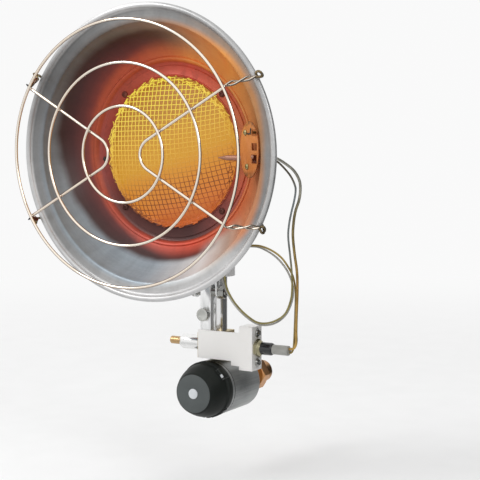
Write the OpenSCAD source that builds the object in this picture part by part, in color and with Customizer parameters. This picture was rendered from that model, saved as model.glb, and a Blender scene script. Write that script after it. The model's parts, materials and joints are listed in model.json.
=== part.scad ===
// Tank-top infrared propane heater.
// The origin is the middle of the tank inlet thread. +Y points into the tank valve, -Y is the
// way the heater faces, +Z is up. The reflector, burner, guard and tilt bracket are the head,
// which tilts on the pivot bolt at the top of the post.

/* [Tank inlet] */
// Outer radius of the left-hand inlet thread
inlet_r = 11.24; // [10.8:0.02:11.6]
// Length of the inlet thread
inlet_l = 14; // [12:0.5:17]
// Width across the flats of the hand nut
nut_af = 28.6; // [26:0.2:32]
// Length of the nut's hexagon
nut_hex_l = 11.5; // [9:0.5:14]
// Outer radius of the nipple that carries the nut
nipple_r = 5.5; // [5:0.1:6]
// Length of the nipple between the regulator's back and the nut
nipple_out = 29.3; // [25:0.1:34]
// Radius of the flared shoulder that keeps the nut on the nipple
nose_r = 8.2; // [7.6:0.1:9]
// Length of the rounded nose past the thread
nose_l = 9; // [8:0.5:11]

/* [Regulator] */
// Outer radius of the regulator body
reg_r = 27.5; // [26.5:0.1:28]
// Distance from the bonnet's front face to the back of the body
reg_l = 54.9; // [52:0.1:58]
// Distance from the bonnet's front face back to the mixer tube's axis
tube_back = 17.6; // [16:0.2:20]
// Wall of the regulator body and the bonnet
reg_wall = 2.4; // [2:0.1:3]
// Width of the thick rim that the bonnet's screws bite into
reg_lip = 6.5; // [6:0.5:8]
// Thickness of the bonnet's clamping flange
reg_flange_t = 4; // [3:0.5:5]
// Thickness of the rubber diaphragm
diaphragm_t = 1; // [0.8:0.1:1.5]
// Outer radius of the spring housing on the bonnet
spring_house_r = 14; // [13:0.5:15]
// Length of the spring housing
spring_house_l = 20; // [18:1:22]
// Radius of the adjusting screw
adjust_r = 4; // [3:0.5:5]
// Travel of the spring button over the knob's turn
adjust_travel = 3; // [2:0.5:4]

/* [Control knob] */
// Radius of the knob's front face
knob_face_r = 20; // [18.5:0.5:21]
// Radius of the knob's back rim
knob_back_r = 28; // [26.5:0.5:29]
// Length of the knob
knob_l = 28.9; // [27:0.1:31]
// Wall of the knob's shell
knob_wall = 2.2; // [1.8:0.1:2.6]
// Radius of the pale cap in the middle of the face
knob_cap_r = 5; // [4.5:0.5:7]
// Angle of the pointer block above the horizontal
pointer_angle = 42; // [20:1:70]
// Number of grip notches round the lower back rim
knob_notches = 9; // [5:2:13]

/* [Safety valve] */
// Width of the valve block from its left end to its right flange
block_l = 61.5; // [60:0.5:66]
// Depth of the valve block
block_d = 14.6; // [14:0.2:17]
// Height of the valve block
block_h = 25; // [23:1:28]
// How far the block's left end lies from the mixer tube's axis
block_left = 10; // [9.7:0.1:12]
// Height of the outlet neck between regulator and block
neck_h = 3.5; // [3:0.5:7]
// Radius of the outlet neck
neck_r = 8; // [7:0.5:9]
// Distance from the mixer tube's axis forward to the valve's axis
valve_offset = 15; // [14.5:0.5:17]
// Radius of the main bore through the block
valve_bore_r = 5.2; // [4.8:0.1:5.5]
// Outer radius of the button's sleeve
sleeve_r = 7.35; // [6.8:0.05:8]
// Length of the button's sleeve
sleeve_l = 23; // [20:1:26]
// Radius of the push button
button_r = 3.9; // [3.4:0.1:4.2]
// Length of the button that stands out of its sleeve
button_out = 12; // [10:1:15]
// Travel of the button
button_travel = 6; // [5:0.5:7]
// Radius of the brass nut that holds the magnet unit
magnet_nut_r = 8.6; // [8:0.1:9.5]
// Radius of the black insulator
insulator_r = 6.15; // [5.5:0.05:7]
// Length of the black insulator
insulator_l = 12; // [10:1:14]
// Radius of the grey lead sleeve
lead_sleeve_r = 4.75; // [4.5:0.05:5.2]
// Length of the grey lead sleeve
lead_sleeve_l = 17; // [14:1:20]

/* [Front bracket] */
// Thickness of the bent sheet bracket
plate_t = 1.5; // [1.2:0.1:2]
// Height of the bracket's low top edge above the regulator's axis
plate_top = 59.5; // [58:0.5:63]
// Height of the raised tab above the low top edge
plate_tab_up = 6.5; // [5:0.5:8]
// Height of the bottom edge above the regulator's axis
plate_bottom = 31.5; // [30:0.5:32]
// How far the bottom edge steps down at the right
plate_step = 4.5; // [3:0.5:5]
// Distance from the mixer tube's axis to that step
plate_step_x = 29.5; // [29:0.5:33]
// Drop of the tab below the step
plate_tab_down = 3.7; // [2:0.1:5]
// Width of the tab at the right end of the plate
plate_tab_w = 14.5; // [12:0.5:17]
// Depth of the flange bent back at the right end
plate_flange_d = 19; // [17:0.5:22]
// Distance between the two side screws
side_screw_gap = 29; // [27:0.5:31]

/* [Post and tilt pivot] */
// Width of the channel post
post_w = 11.6; // [10.6:0.2:13]
// Depth of the channel post
post_d = 5.6; // [4.5:0.1:7]
// Thickness of the post's sheet
post_t = 1.2; // [1:0.1:1.6]
// Height of the tilt pivot above the regulator's axis
pivot_z = 97; // [94:1:102]
// Radius of the pivot bolt
pivot_r = 3; // [2.5:0.1:3.4]
// Half the distance between the head bracket's two ears
ear_half = 12; // [11:0.5:14]
// Thickness of the head bracket
ear_t = 1.5; // [1.2:0.1:2]
// Width across the flats of the pivot bolt's head and nut
pivot_af = 11; // [10:0.5:12]
// Height of the thumb screw above the regulator's axis
thumb_z = 75; // [73:1:80]
// Radius of the thumb screw's knurled head
thumb_head_r = 6.3; // [5.5:0.1:7]
// Length of the thumb screw's head
thumb_head_l = 5; // [4:0.5:7]
// Radius of the thumb screw's shank
thumb_r = 2.5; // [2:0.1:3]

/* [Mixer tube and burner feed] */
// Outer radius of the mixer tube
tube_r = 9.5; // [9:0.1:10.5]
// Wall of the mixer tube
tube_wall = 1; // [0.8:0.1:1.3]
// Height of the mixer tube's top above the regulator's axis
tube_top = 115; // [112:1:117]
// Height of the feed pipe's bell mouth above the regulator's axis
bell_z = 111; // [109:1:113]
// Inner radius of the bell mouth
bell_r = 16; // [15.6:0.1:17.5]
// Outer radius of the feed pipe
feed_r = 11; // [10:0.5:12]
// Wall of the feed pipe
feed_wall = 1; // [0.8:0.1:1.3]
// Bend radius of the feed elbow
feed_bend = 27; // [24:1:29]

/* [Reflector] */
// Radius of the reflector to the outside of its rolled rim
rim_r = 135; // [128:1:142]
// Radius of the rolled bead
bead_r = 2.7; // [2.2:0.1:3.2]
// Thickness of the reflector's sheet
dish_t = 0.8; // [0.6:0.1:1.2]
// Width of the flat band inside the bead
band_w = 12.3; // [10:0.1:15]
// Depth from the rim to the burner floor
dish_d = 50; // [47:1:54]
// Radius of the recessed burner floor
floor_r = 83; // [81:0.5:86]
// Height of the reflector's centre above the regulator's axis
dish_z = 235; // [228:1:245]
// Distance from the rim back to the mixer tube's axis
dish_reach = 130.5; // [126:0.5:136]

/* [Burner] */
// Radius of the outer wire screen
screen_r = 69; // [66:0.5:71]
// How far the screen bulges forward
screen_rise = 12; // [9:0.5:14]
// Outer radius of the burner's clamp ring
clamp_r = 80; // [78:0.5:81]
// Radius of the circle that the clamp screws lie on
clamp_screw_pcd = 75.5; // [75:0.1:76.5]
// Number of clamp screws
clamp_screws = 4; // [3:1:8]
// Depth of the plenum behind the burner floor
plenum_d = 25; // [22:1:28]
// Radius of the plenum's wall
plenum_r = 73; // [71.5:0.5:74]
// Thickness of the plenum's sheet
plenum_t = 1; // [0.8:0.1:1.4]

/* [Guard] */
// Radius of the guard's wire
wire_r = 1.35; // [1.1:0.05:1.6]
// Radius of the outer guard ring
guard_outer_r = 118.2; // [112:0.2:122]
// Radius of the middle guard ring
guard_middle_r = 80.5; // [76:0.5:86]
// Radius of the inner guard ring
guard_inner_r = 42.5; // [39:0.5:46]
// Distance of the guard rings in front of the rim
guard_out = 33.2; // [28:0.2:38]
// Angle of the guard's legs above and below the horizontal
leg_angle = 30; // [26:1:34]
// Bend radius of each hairpin's nose
hairpin_bend = 15; // [12:0.5:18]
// Distance of each hairpin's nose from the guard's centre line
hairpin_nose = 17; // [13:0.5:20]

/* [Thermocouple] */
// Radius of the probe
probe_r = 2.5; // [2:0.1:3]
// Distance of the probe's tip from the reflector's axis
probe_tip = 56; // [52:1:60]
// Depth of the probe behind the rim
probe_d = 38; // [36.5:0.5:39]
// Height of the probe below the reflector's axis
probe_drop = 4; // [2:0.5:6]
// Half the height of the oval probe cover
cover_h = 25; // [23:0.5:27]
// Half the width of the oval probe cover
cover_w = 17.5; // [16:0.5:18]
// Thickness of the oval probe cover
cover_t = 1; // [0.8:0.1:1.3]

/* [Leads] */
// Radius of the thermocouple lead
lead_r = 1.3; // [1.1:0.05:1.5]
// Radius of the switch leads
switch_lead_r = 0.95; // [0.8:0.05:1.05]

/* [Hidden] */

run = 0.06;          // radial clearance of a part that turns or slides in a bore
slack = 0.3;         // gap between parts that move past each other
fine = 96;           // facets of a large round
small = 32;          // facets of a small round

// Stations along Y, from the inlet forward
nut_y = -inlet_l / 2 - nut_hex_l;
reg_back = nut_y - nipple_out;
reg_front = reg_back - reg_l;
diaphragm_y = reg_front + reg_flange_t;
body_y = diaphragm_y + diaphragm_t;
tube_y = reg_front + tube_back;
valve_y = tube_y - valve_offset;
block_y = valve_y - block_d / 2;
post_y = block_y - post_t;
plate_y = post_y - plate_t;
knob_y = reg_front - slack - knob_l;
house_y = reg_front - spring_house_l;
dish_y = tube_y - dish_reach;
pivot_y = post_y + post_t + pivot_r + 0.8;

// Heights above the regulator's axis
block_z = reg_r + neck_h;
block_top = block_z + block_h;
valve_z = block_z + 14;

// Stations along X
block_right = block_l - block_left;
plate_right = block_right + plate_t;
magnet_nut_l = 5.7;
insulator_x = plate_right + magnet_nut_l;
lead_sleeve_x = insulator_x + insulator_l;
sleeve_x = -block_left - sleeve_l;

// Reflector profile, as [radius, depth behind the rim]
bead_in = rim_r - 2 * bead_r;
band_in = bead_in - band_w;
ridge_r = floor_r + 5;
floor_hole_r = screen_r + 2;
wall_mid = [band_in - 9, dish_d - 18];
band_d = 7.6;

function bezier(a, b, c, t) = (1 - t) * (1 - t) * a + 2 * t * (1 - t) * b + t * t * c;
function unit(v) = v / norm(v);
function side(p, i) = let (d = unit(p[min(i + 1, len(p) - 1)] - p[max(i - 1, 0)])) [-d[1], d[0]];
function shifted(p, t) = [for (i = [0 : len(p) - 1]) p[i] + t * side(p, i)];
function reversed(p) = [for (i = [len(p) - 1 : -1 : 0]) p[i]];

wall_curve = [for (k = [0 : 12]) bezier([band_in, band_d], wall_mid, [ridge_r, dish_d - 4], k / 12)];
dish_face = concat(
  [[bead_in + 0.6, 3.2], [band_in + 1.2, 4.6]], wall_curve,
  [[ridge_r - 1.6, dish_d - 4.8], [ridge_r - 3.2, dish_d - 3.6], [floor_r, dish_d - 0.6],
   [floor_r - 1.2, dish_d], [floor_hole_r, dish_d]]
);

// Radius of the reflector's wall at a depth: its face, and its back
function wall_r(depth) = lookup(depth, [for (p = wall_curve) [p[1], p[0]]]);
function wall_back_r(depth) = lookup(depth, [for (p = shifted(wall_curve, -dish_t)) [p[1], p[0]]]);

// Places things in the reflector's own frame: local Z runs back from the rim
module at_dish() translate([0, dish_y, dish_z]) rotate([-90, 0, 0]) children();
module along_y() rotate([-90, 0, 0]) children();
module along_x() rotate([0, 90, 0]) children();
module at_valve(x) translate([x, valve_y, valve_z]) along_x() children();

module ring(r_out, r_in, l) difference() {
  cylinder(r = r_out, h = l, $fn = fine);
  translate([0, 0, -1]) cylinder(r = r_in, h = l + 2, $fn = fine);
}

module hex_prism(af, l) cylinder(r = af / sqrt(3), h = l, $fn = 6);

module screw_head(r, h) {
  difference() {
    union() {
      cylinder(r = r, h = h * 0.5, $fn = small);
      translate([0, 0, h * 0.5]) cylinder(r1 = r, r2 = r * 0.55, h = h * 0.5, $fn = small);
    }
    for (a = [0, 90]) rotate(a) translate([-r * 0.55, -r * 0.12, h * 0.55])
      cube([r * 1.1, r * 0.24, h]);
  }
}

// A round tube swept along points, with rings at Catmull-Rom steps between them
function spline_at(p, i, t) =
  let (a = p[max(i - 1, 0)], b = p[i], c = p[i + 1], d = p[min(i + 2, len(p) - 1)])
  0.5 * ((2 * b) + (c - a) * t + (2 * a - 5 * b + 4 * c - d) * t * t
         + (3 * b - a - 3 * c + d) * t * t * t);
function smooth_path(p, steps) = concat(
  [for (i = [0 : len(p) - 2], k = [0 : steps - 1]) spline_at(p, i, k / steps)], [p[len(p) - 1]]);
function heading(p, i) = unit(p[min(i + 1, len(p) - 1)] - p[max(i - 1, 0)]);
module swept(p, r, up, sides = 8) {
  n = len(p);
  points = [for (i = [0 : n - 1]) let (d = heading(p, i), u = unit(cross(up, d)), v = cross(d, u))
    for (k = [0 : sides - 1]) p[i] + r * (cos(360 * k / sides) * u + sin(360 * k / sides) * v)];
  faces = concat(
    [[for (k = [0 : sides - 1]) k]],
    [[for (k = [sides - 1 : -1 : 0]) (n - 1) * sides + k]],
    [for (i = [0 : n - 2], k = [0 : sides - 1]) let (m = (k + 1) % sides)
      [i * sides + k, (i + 1) * sides + k, (i + 1) * sides + m, i * sides + m]]
  );
  polyhedron(points = points, faces = faces);
}

function coil(r, l, turns, step = 30) =
  [for (a = [0 : step : 360 * turns]) [r * cos(a), r * sin(a), l * a / (360 * turns)]];

// ---- Head: reflector, burner and guard ----

module reflector_dish() color("gainsboro") at_dish() {
  difference() {
    union() {
      rotate_extrude($fn = fine) polygon(concat(dish_face, reversed(shifted(dish_face, -dish_t))));
      translate([0, 0, bead_r]) rotate_extrude($fn = fine)
        translate([rim_r - bead_r, 0]) circle(r = bead_r, $fn = small);
    }
    translate([floor_r - 3, probe_drop, probe_d]) along_x()
      cylinder(r = probe_sleeve_r + run, h = rim_r, $fn = small);
    clamp_holes(dish_d - 2, 4);
  }
}

module clamp_holes(z, h) for (k = [0 : clamp_screws - 1]) rotate(45 + 360 * k / clamp_screws)
  translate([clamp_screw_pcd, 0, z]) cylinder(r = clamp_hole_r, h = h, $fn = small);

clamp_hole_r = 1.6;
clamp_ring_t = 1;
module burner_clamp_ring() color("firebrick") at_dish() difference() {
  union() {
    translate([0, 0, dish_d - clamp_ring_t]) ring(clamp_r, screen_r + screen_rim_t, clamp_ring_t);
    translate([0, 0, dish_d - clamp_ring_t - 1.4])
      ring(screen_r + screen_rim_t + 1.6, screen_r + screen_rim_t, 1.6);
  }
  clamp_holes(dish_d - 4, 6);
}

module clamp_screws() color("dimgray") at_dish() for (k = [0 : clamp_screws - 1])
  rotate(45 + 360 * k / clamp_screws) translate([clamp_screw_pcd, 0, 0]) {
    translate([0, 0, dish_d - clamp_ring_t]) mirror([0, 0, 1]) screw_head(2.9, 1.9);
    translate([0, 0, dish_d - clamp_ring_t])
      cylinder(r = clamp_hole_r - run, h = dish_t + clamp_ring_t + plenum_t + 1.5, $fn = small);
  }

// The wire screen's solid is a thin spherical cap with a rolled edge
screen_rim_t = 0.6;
module cap_shell(r, rise, t) {
  big = (r * r + rise * rise) / (2 * rise);
  half = asin(r / big);
  outer = [for (k = [0 : 16]) let (a = half * k / 16) [big * sin(a), big - big * cos(a)]];
  inner = [for (k = [16 : -1 : 0]) let (a = half * k / 16)
    [(big - t) * sin(a), big - (big - t) * cos(a)]];
  rotate_extrude($fn = fine) polygon(concat(outer, inner));
}
module outer_screen() color("goldenrod") at_dish() {
  translate([0, 0, dish_d - 3 - screen_rise]) cap_shell(screen_r, screen_rise, 0.8);
  translate([0, 0, dish_d - 3.4]) ring(screen_r + screen_rim_t, screen_r - 0.8, dish_t + 3.4);
}

inner_gap = 3;
module inner_screen() color("orange") at_dish() {
  translate([0, 0, dish_d - 2 - screen_rise + inner_gap])
    cap_shell(screen_r - inner_gap, screen_rise - 1.2, 0.8);
  translate([0, 0, dish_d - 0.6]) ring(screen_r - inner_gap + 0.6, screen_r - inner_gap - 1, 1.8);
}

plenum_y = dish_d + dish_t;
module burner_plenum() color("darkgray") at_dish() difference() {
  union() {
    translate([0, 0, plenum_y]) cylinder(r = clamp_r, h = plenum_t, $fn = fine);
    translate([0, 0, plenum_y]) rotate_extrude($fn = fine) polygon([
      [0, 0], [plenum_r, 0], [plenum_r, plenum_d - 7], [plenum_r - 2, plenum_d - 2],
      [plenum_r - 7, plenum_d], [0, plenum_d]]);
  }
  translate([0, 0, plenum_y - 1]) rotate_extrude($fn = fine) polygon([
    [0, 0], [plenum_r - plenum_t, 0], [plenum_r - plenum_t, plenum_d - 6.4],
    [plenum_r - plenum_t - 2, plenum_d - 1.6], [plenum_r - plenum_t - 6.4, plenum_d + 1 - plenum_t],
    [0, plenum_d + 1 - plenum_t]]);
  translate([0, 0, plenum_y + plenum_d - 3]) cylinder(r = feed_r, h = 6, $fn = fine);
  clamp_holes(plenum_y - 1, 4);
  for (s = [-1, 1]) translate([s * bracket_screw_x, dish_z - bracket_screw_z, plenum_y + plenum_d - 3])
    cylinder(r = bracket_screw_r + run, h = 6, $fn = small);
}

port_r = 2.4;
port_first = 22;
port_pitch = 18;
module distributor_plate() color("silver") at_dish() translate([0, 0, plenum_y + plenum_d * 0.36]) {
  difference() {
    cylinder(r = plenum_r - plenum_t, h = plenum_t, $fn = fine);
    for (ring_i = [1 : 3]) for (k = [0 : 8 * ring_i - 1]) rotate(360 * k / (8 * ring_i))
      translate([port_first + port_pitch * (ring_i - 1), 0, -1]) cylinder(r = port_r, h = 3, $fn = small);
  }
}

// Feed pipe: bell mouth over the mixer tube, straight rise, elbow, then into the plenum's back
plenum_back = dish_y + plenum_y + plenum_d;
bell_h = 15;
bell_cone_h = 9;
feed_flange_w = 5;
feed_flange_t = 2;
module feed_elbow() color("silver") {
  bell_out = bell_r + feed_wall;
  bell_top = bell_z + bell_h;
  neck_top = bell_top + bell_cone_h;
  bend_z = dish_z - feed_bend;
  run_y = tube_y - feed_bend;
  difference() {
    union() {
      translate([0, tube_y, 0]) rotate_extrude($fn = fine) polygon([
        [0, bell_z], [bell_out, bell_z], [bell_out, bell_top], [feed_r, neck_top],
        [feed_r, bend_z], [0, bend_z]]);
      translate([0, run_y, bend_z]) rotate([0, -90, 0])
        rotate_extrude(angle = 90, $fn = fine) translate([feed_bend, 0]) circle(r = feed_r, $fn = fine);
      translate([0, plenum_back - plenum_t, dish_z]) along_y()
        cylinder(r = feed_r, h = run_y - plenum_back + plenum_t, $fn = fine);
      translate([0, plenum_back, dish_z]) along_y()
        cylinder(r = feed_r + feed_flange_w, h = feed_flange_t, $fn = fine);
    }
    translate([0, tube_y, 0]) rotate_extrude($fn = fine) polygon([
      [0, bell_z - 1], [bell_r, bell_z - 1], [bell_r, bell_top], [feed_r - feed_wall, neck_top],
      [feed_r - feed_wall, bend_z], [0, bend_z]]);
    translate([0, run_y, bend_z]) rotate([0, -90, 0])
      rotate_extrude(angle = 90, $fn = fine)
        translate([feed_bend, 0]) circle(r = feed_r - feed_wall, $fn = fine);
    translate([0, plenum_back - plenum_t - 1, dish_z]) along_y()
      cylinder(r = feed_r - feed_wall, h = run_y - plenum_back + plenum_t + 1, $fn = fine);
  }
}

guard_y = dish_y - guard_out;
module guard_ring(r) translate([0, guard_y, dish_z]) along_y()
  rotate_extrude($fn = fine) translate([r, 0]) circle(r = wire_r, $fn = small);
module guard_outer_ring() color("wheat") guard_ring(guard_outer_r);
module guard_middle_ring() color("wheat") guard_ring(guard_middle_r);
module guard_inner_ring() color("wheat") guard_ring(guard_inner_r);

// A hairpin: two legs that run out to the outer ring from a rounded nose on the centre line
module hairpin() translate([0, guard_y + 2 * wire_r, dish_z]) along_y() {
  d = [cos(leg_angle), sin(leg_angle)];
  p = [hairpin_nose + hairpin_bend * (1 - d[1]), hairpin_bend * d[0]];
  reach = sqrt(pow(p * d, 2) - p * p + guard_outer_r * guard_outer_r) - p * d;
  translate([hairpin_nose + hairpin_bend, 0, 0]) rotate(90 + leg_angle)
    rotate_extrude(angle = 180 - 2 * leg_angle, $fn = fine)
      translate([hairpin_bend, 0]) circle(r = wire_r, $fn = small);
  for (s = [-1, 1]) translate([p[0], s * p[1], 0]) rotate(s * leg_angle) along_x()
    cylinder(r = wire_r, h = reach, $fn = small);
}
module guard_hairpin_right() color("wheat") hairpin();
module guard_hairpin_left() color("wheat") mirror([1, 0, 0]) hairpin();

// Four posts of two twisted wires run from the outer ring back to a hook round the rim
strand_r = 1;
module guard_post(a) {
  start = [guard_outer_r + wire_r, 0, -guard_out + 2 * wire_r];
  hook = [rim_r + strand_r * 2.2, 0, -1];
  n = 24;
  for (s = [0, 180]) rotate(a) swept(concat(
    [for (i = [0 : n]) let (t = i / n, w = s + 900 * t, m = start + t * (hook - start))
      m + 1.02 * strand_r * [cos(w) * 0.9, sin(w), cos(w) * 0.45]],
    s == 0
      ? [hook + [1.2, 0.8, 3.4], hook + [0.4, 1.2, bead_r * 2 + 1.6],
         hook + [-3.6, 1.2, bead_r * 2 + 2.6], hook + [-6.2, 1.2, bead_r * 2 + 2.4]]
      : [hook + [2.2, -1, 1.8], hook + [4.6, -1.2, 1.6], hook + [7.0, -1.4, 1.2]]
  ), strand_r, [0.2, 1, 0.1]);
}
module guard_posts() color("wheat") at_dish()
  for (a = [leg_angle, -leg_angle, 180 - leg_angle, 180 + leg_angle]) guard_post(a);

// ---- Head: thermocouple and its cover ----

cover_slope = 33;
cover_d = probe_d - 13.5;
cover_stand = 13.3;
cover_c = [wall_r(cover_d) - cover_stand, -probe_drop, cover_d];
module on_cover() at_dish() translate(cover_c) rotate([0, cover_slope, 0]) children();
cover_screw = [[-7, -15], [-3.6, 15]];
stand_off_gap = 1.2;
// How far behind the cover's face the reflector's wall lies, at a point of the cover
function wall_behind(p, t = 0) = let (
    r = norm([cover_c[0] + p[0] * cos(cover_slope) + t * sin(cover_slope), cover_c[1] + p[1]]),
    depth = cover_c[2] - p[0] * sin(cover_slope) + t * cos(cover_slope))
  r > wall_r(depth) ? t : wall_behind(p, t + 0.1);
module probe_cover() color("peru") on_cover() difference() {
  linear_extrude(cover_t) scale([cover_w / cover_h, 1]) circle(r = cover_h, $fn = fine);
  for (s = [[-16, 5.5], [-3.5, 6.2], [7.2, 7.6]])
    translate([4.6, s[0] - s[1] / 2 + 0.8, -1]) cube([9.5, s[1], cover_t + 2]);
  for (p = cover_screw) translate([p[0], p[1], -1]) cylinder(r = 1.3, h = cover_t + 2, $fn = small);
}
module probe_cover_screws() color("olive") on_cover() for (p = cover_screw)
  translate([p[0], p[1], 0]) {
    mirror([0, 0, 1]) screw_head(2.6, 1.6);
    cylinder(r = 1.2, h = wall_behind(p) - stand_off_gap, $fn = small);
    translate([0, 0, cover_t]) cylinder(r = 2.2, h = 3.2, $fn = small);
  }

probe_sleeve_r = 4.5;
probe_nut_af = 11;
probe_nut_t = 4.6;
probe_nut_x = wall_back_r(probe_d - probe_nut_af / sqrt(3)) + slack;
probe_sleeve_x = probe_nut_x - 15;
probe_end_x = probe_nut_x + 7;
probe_stub_r = 3.4;
module at_probe(x) at_dish() translate([x, probe_drop, probe_d]) along_x() children();
module thermocouple_probe() color("sienna") {
  at_probe(probe_tip) {
    cylinder(r1 = 0.5, r2 = probe_r, h = 9, $fn = small);
    translate([0, 0, 9]) cylinder(r = probe_r, h = probe_sleeve_x - probe_tip - 9, $fn = small);
  }
  at_probe(probe_sleeve_x) cylinder(r = probe_sleeve_r, h = probe_nut_x - probe_sleeve_x, $fn = small);
  at_probe(probe_nut_x) cylinder(r = probe_stub_r, h = probe_end_x - probe_nut_x, $fn = small);
}
module thermocouple_nut() color("goldenrod") at_probe(probe_nut_x) difference() {
  hex_prism(probe_nut_af, probe_nut_t);
  translate([0, 0, -1]) cylinder(r = probe_stub_r, h = probe_nut_t + 2, $fn = small);
}

// ---- Head: tilt bracket ----

ear_r = 6.6;
ear_neck = 4.6;
bracket_low = dish_z - 67;
bracket_high = dish_z - 31;
ear_bend_z = pivot_z + 49;
bracket_screw_x = 8.5;
bracket_screw_z = dish_z - 50;
bracket_screw_r = 2;
module head_bracket() color("silver") difference() {
  union() {
    for (s = [-1, 1]) translate([s > 0 ? ear_half : -ear_half - ear_t, 0, 0])
      rotate([90, 0, 90]) linear_extrude(ear_t) {
        translate([pivot_y, pivot_z]) circle(r = ear_r, $fn = fine);
        polygon([[pivot_y - ear_r, pivot_z], [pivot_y - ear_r, ear_bend_z], [plenum_back, bracket_low],
          [plenum_back, bracket_high], [plenum_back + ear_r + ear_t, bracket_high],
          [pivot_y + ear_neck, ear_bend_z + ear_r], [pivot_y + ear_neck, pivot_z]]);
      }
    translate([-ear_half, plenum_back, bracket_low]) cube([2 * ear_half, ear_t, bracket_high - bracket_low]);
  }
  translate([-2 * ear_half, pivot_y, pivot_z]) along_x() cylinder(r = pivot_r, h = 4 * ear_half, $fn = small);
  for (s = [-1, 1]) translate([s * bracket_screw_x, plenum_back - 1, bracket_screw_z]) along_y()
    cylinder(r = bracket_screw_r + run, h = 5, $fn = small);
}
module head_bracket_screws() color("dimgray") for (s = [-1, 1])
  translate([s * bracket_screw_x, plenum_back + ear_t, bracket_screw_z]) {
    along_y() screw_head(3.2, 2.4);
    rotate([90, 0, 0]) cylinder(r = bracket_screw_r, h = ear_t + plenum_t + 2, $fn = small);
  }

pivot_gap = 0.2;
washer_t = 1.2;
nut_t = 5;
module pivot_bolt() color("dimgray") translate([0, pivot_y, pivot_z]) along_x() {
  translate([0, 0, -ear_half - ear_t - 4]) hex_prism(pivot_af, 4);
  translate([0, 0, -ear_half - ear_t])
    cylinder(r = pivot_r, h = 2 * (ear_half + ear_t) + washer_t + nut_t + 1.5, $fn = small);
}
module pivot_nut() color("dimgray") translate([ear_half + ear_t, pivot_y, pivot_z]) along_x() difference() {
  union() {
    cylinder(r = 6.5, h = washer_t, $fn = small);
    translate([0, 0, washer_t]) hex_prism(pivot_af, nut_t);
  }
  translate([0, 0, -1]) cylinder(r = pivot_r, h = washer_t + nut_t + 2, $fn = small);
}
module pivot_spacers() color("silver") for (s = [-1, 1])
  translate([s > 0 ? post_w / 2 + pivot_gap : -ear_half, pivot_y, pivot_z]) along_x()
    ring(pivot_r + 1.6, pivot_r, ear_half - post_w / 2 - pivot_gap);

switch_box = [17, 15, 22];
switch_at = [ear_half + ear_t, (pivot_y + plenum_back) / 2 - 5, (pivot_z + dish_z) / 2 - 26];
module tip_switch() color("dimgray") translate(switch_at) {
  difference() {
    cube(switch_box);
    translate([-1, -1, switch_box[2] - 3]) cube([switch_box[0] + 2, 4, 4]);
  }
}

// ---- Leads, each along its own route ----

probe_end = [probe_end_x + 2 * slack, dish_y + probe_d, dish_z - probe_drop];
sleeve_end = [lead_sleeve_x + lead_sleeve_l + slack, valve_y, valve_z];
// A route moved so that it starts at top and ends at foot; the points between move in proportion
function led(top, foot, route) = let (n = len(route) - 1)
  [for (i = [0 : n]) route[i] + (top - route[0]) * (n - i) / n + (foot - route[n]) * i / n];
thermocouple_route = led(probe_end + [0, 0.4, 1], sleeve_end + [0, 0, 1.6], [
  [112.6, -177.2, 232], [115.5, -175.6, 231], [118.5, -167.8, 227], [122.5, -157.8, 220],
  [124, -149.8, 211], [121.5, -142.8, 202], [117, -136.8, 192], [111, -131.8, 182], [107, -127.8, 172],
  [103.5, -122.8, 158], [102.6, -117.8, 141], [103.2, -113.8, 123], [101.6, -109.8, 104], [98.6, -105.3, 84],
  [96, -101.2, 65], [95.6, -100.2, 54], [93, -100.1, 48], [88, -100.1, 46.6]
]);
sensor_route = led(probe_end + [0.1, 1.8, -1.6], switch_at + [12.5, 7, -0.4], [
  [112.7, -175.8, 229.4], [115.2, -170.8, 226.6], [118, -156.8, 216], [118.6, -147.8, 206], [116, -141.8, 199],
  [111, -135.8, 189], [106, -130.8, 180], [101.5, -126.8, 168], [99.2, -123.8, 156], [99.2, -119.8, 138],
  [99.8, -117.8, 123], [99.2, -115.8, 108], [97.2, -114.8, 96], [90.6, -112.8, 83], [80.4, -111.3, 75.5],
  [68.5, -110.3, 71.5], [57.5, -110.3, 72], [45, -110.3, 79], [35, -110.8, 88], [28, -111.3, 98],
  [25.4, -112.8, 107], [25, -115.8, 120], [26, -119.3, 131], [26, -119.8, 139.6]
]);
switch_route = led(switch_at + [switch_box[0] + 0.5, 11, 10], switch_at + [6.9, 9, -0.4], [
  [31, -115.8, 150], [37, -118.4, 149.4], [47, -123.8, 147], [57.6, -125.3, 146], [68.4, -122.3, 145],
  [81, -118.3, 138], [90, -115.3, 128.5], [95.4, -112.8, 118], [97.4, -110.3, 107], [95.8, -109.3, 95],
  [89, -107.3, 82], [78.4, -105.3, 73], [65.5, -103.3, 68.5], [53, -102.3, 69], [40, -102.3, 76],
  [30, -104.3, 86], [23.6, -106.8, 97], [21.2, -109.3, 106], [20.6, -113.8, 118], [20.4, -117.4, 130],
  [20.4, -117.8, 139.6]
]);
return_route = led(switch_at + [switch_box[0] + 0.5, 4, 12], sleeve_end + [0, 1.1, -2], [
  [31, -122.8, 152], [37, -125.2, 151.2], [48, -130.3, 148.5], [60, -129.8, 147.4],
  [71, -126.8, 147], [81, -122.8, 143], [89, -118.8, 136.5], [94.6, -115.8, 128], [97.8, -111.3, 118],
  [97.6, -106.4, 106], [96.4, -103.4, 95], [94.2, -99.8, 82], [92.4, -97.4, 68], [91.8, -97.2, 56],
  [91.4, -98, 47.5], [90, -98.8, 43.6], [88, -99, 43]
]);
module lead(route, r) swept(smooth_path(route, 3), r, [0, 1, 0.2]);
module thermocouple_lead() color("darkgoldenrod") lead(thermocouple_route, lead_r);
module sensor_lead() color("gray") lead(sensor_route, switch_lead_r);
module switch_lead() color("darkgoldenrod") lead(switch_route, switch_lead_r);
module return_lead() color("goldenrod") lead(return_route, switch_lead_r);

// ---- Base: post, bracket and valve ----

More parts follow.
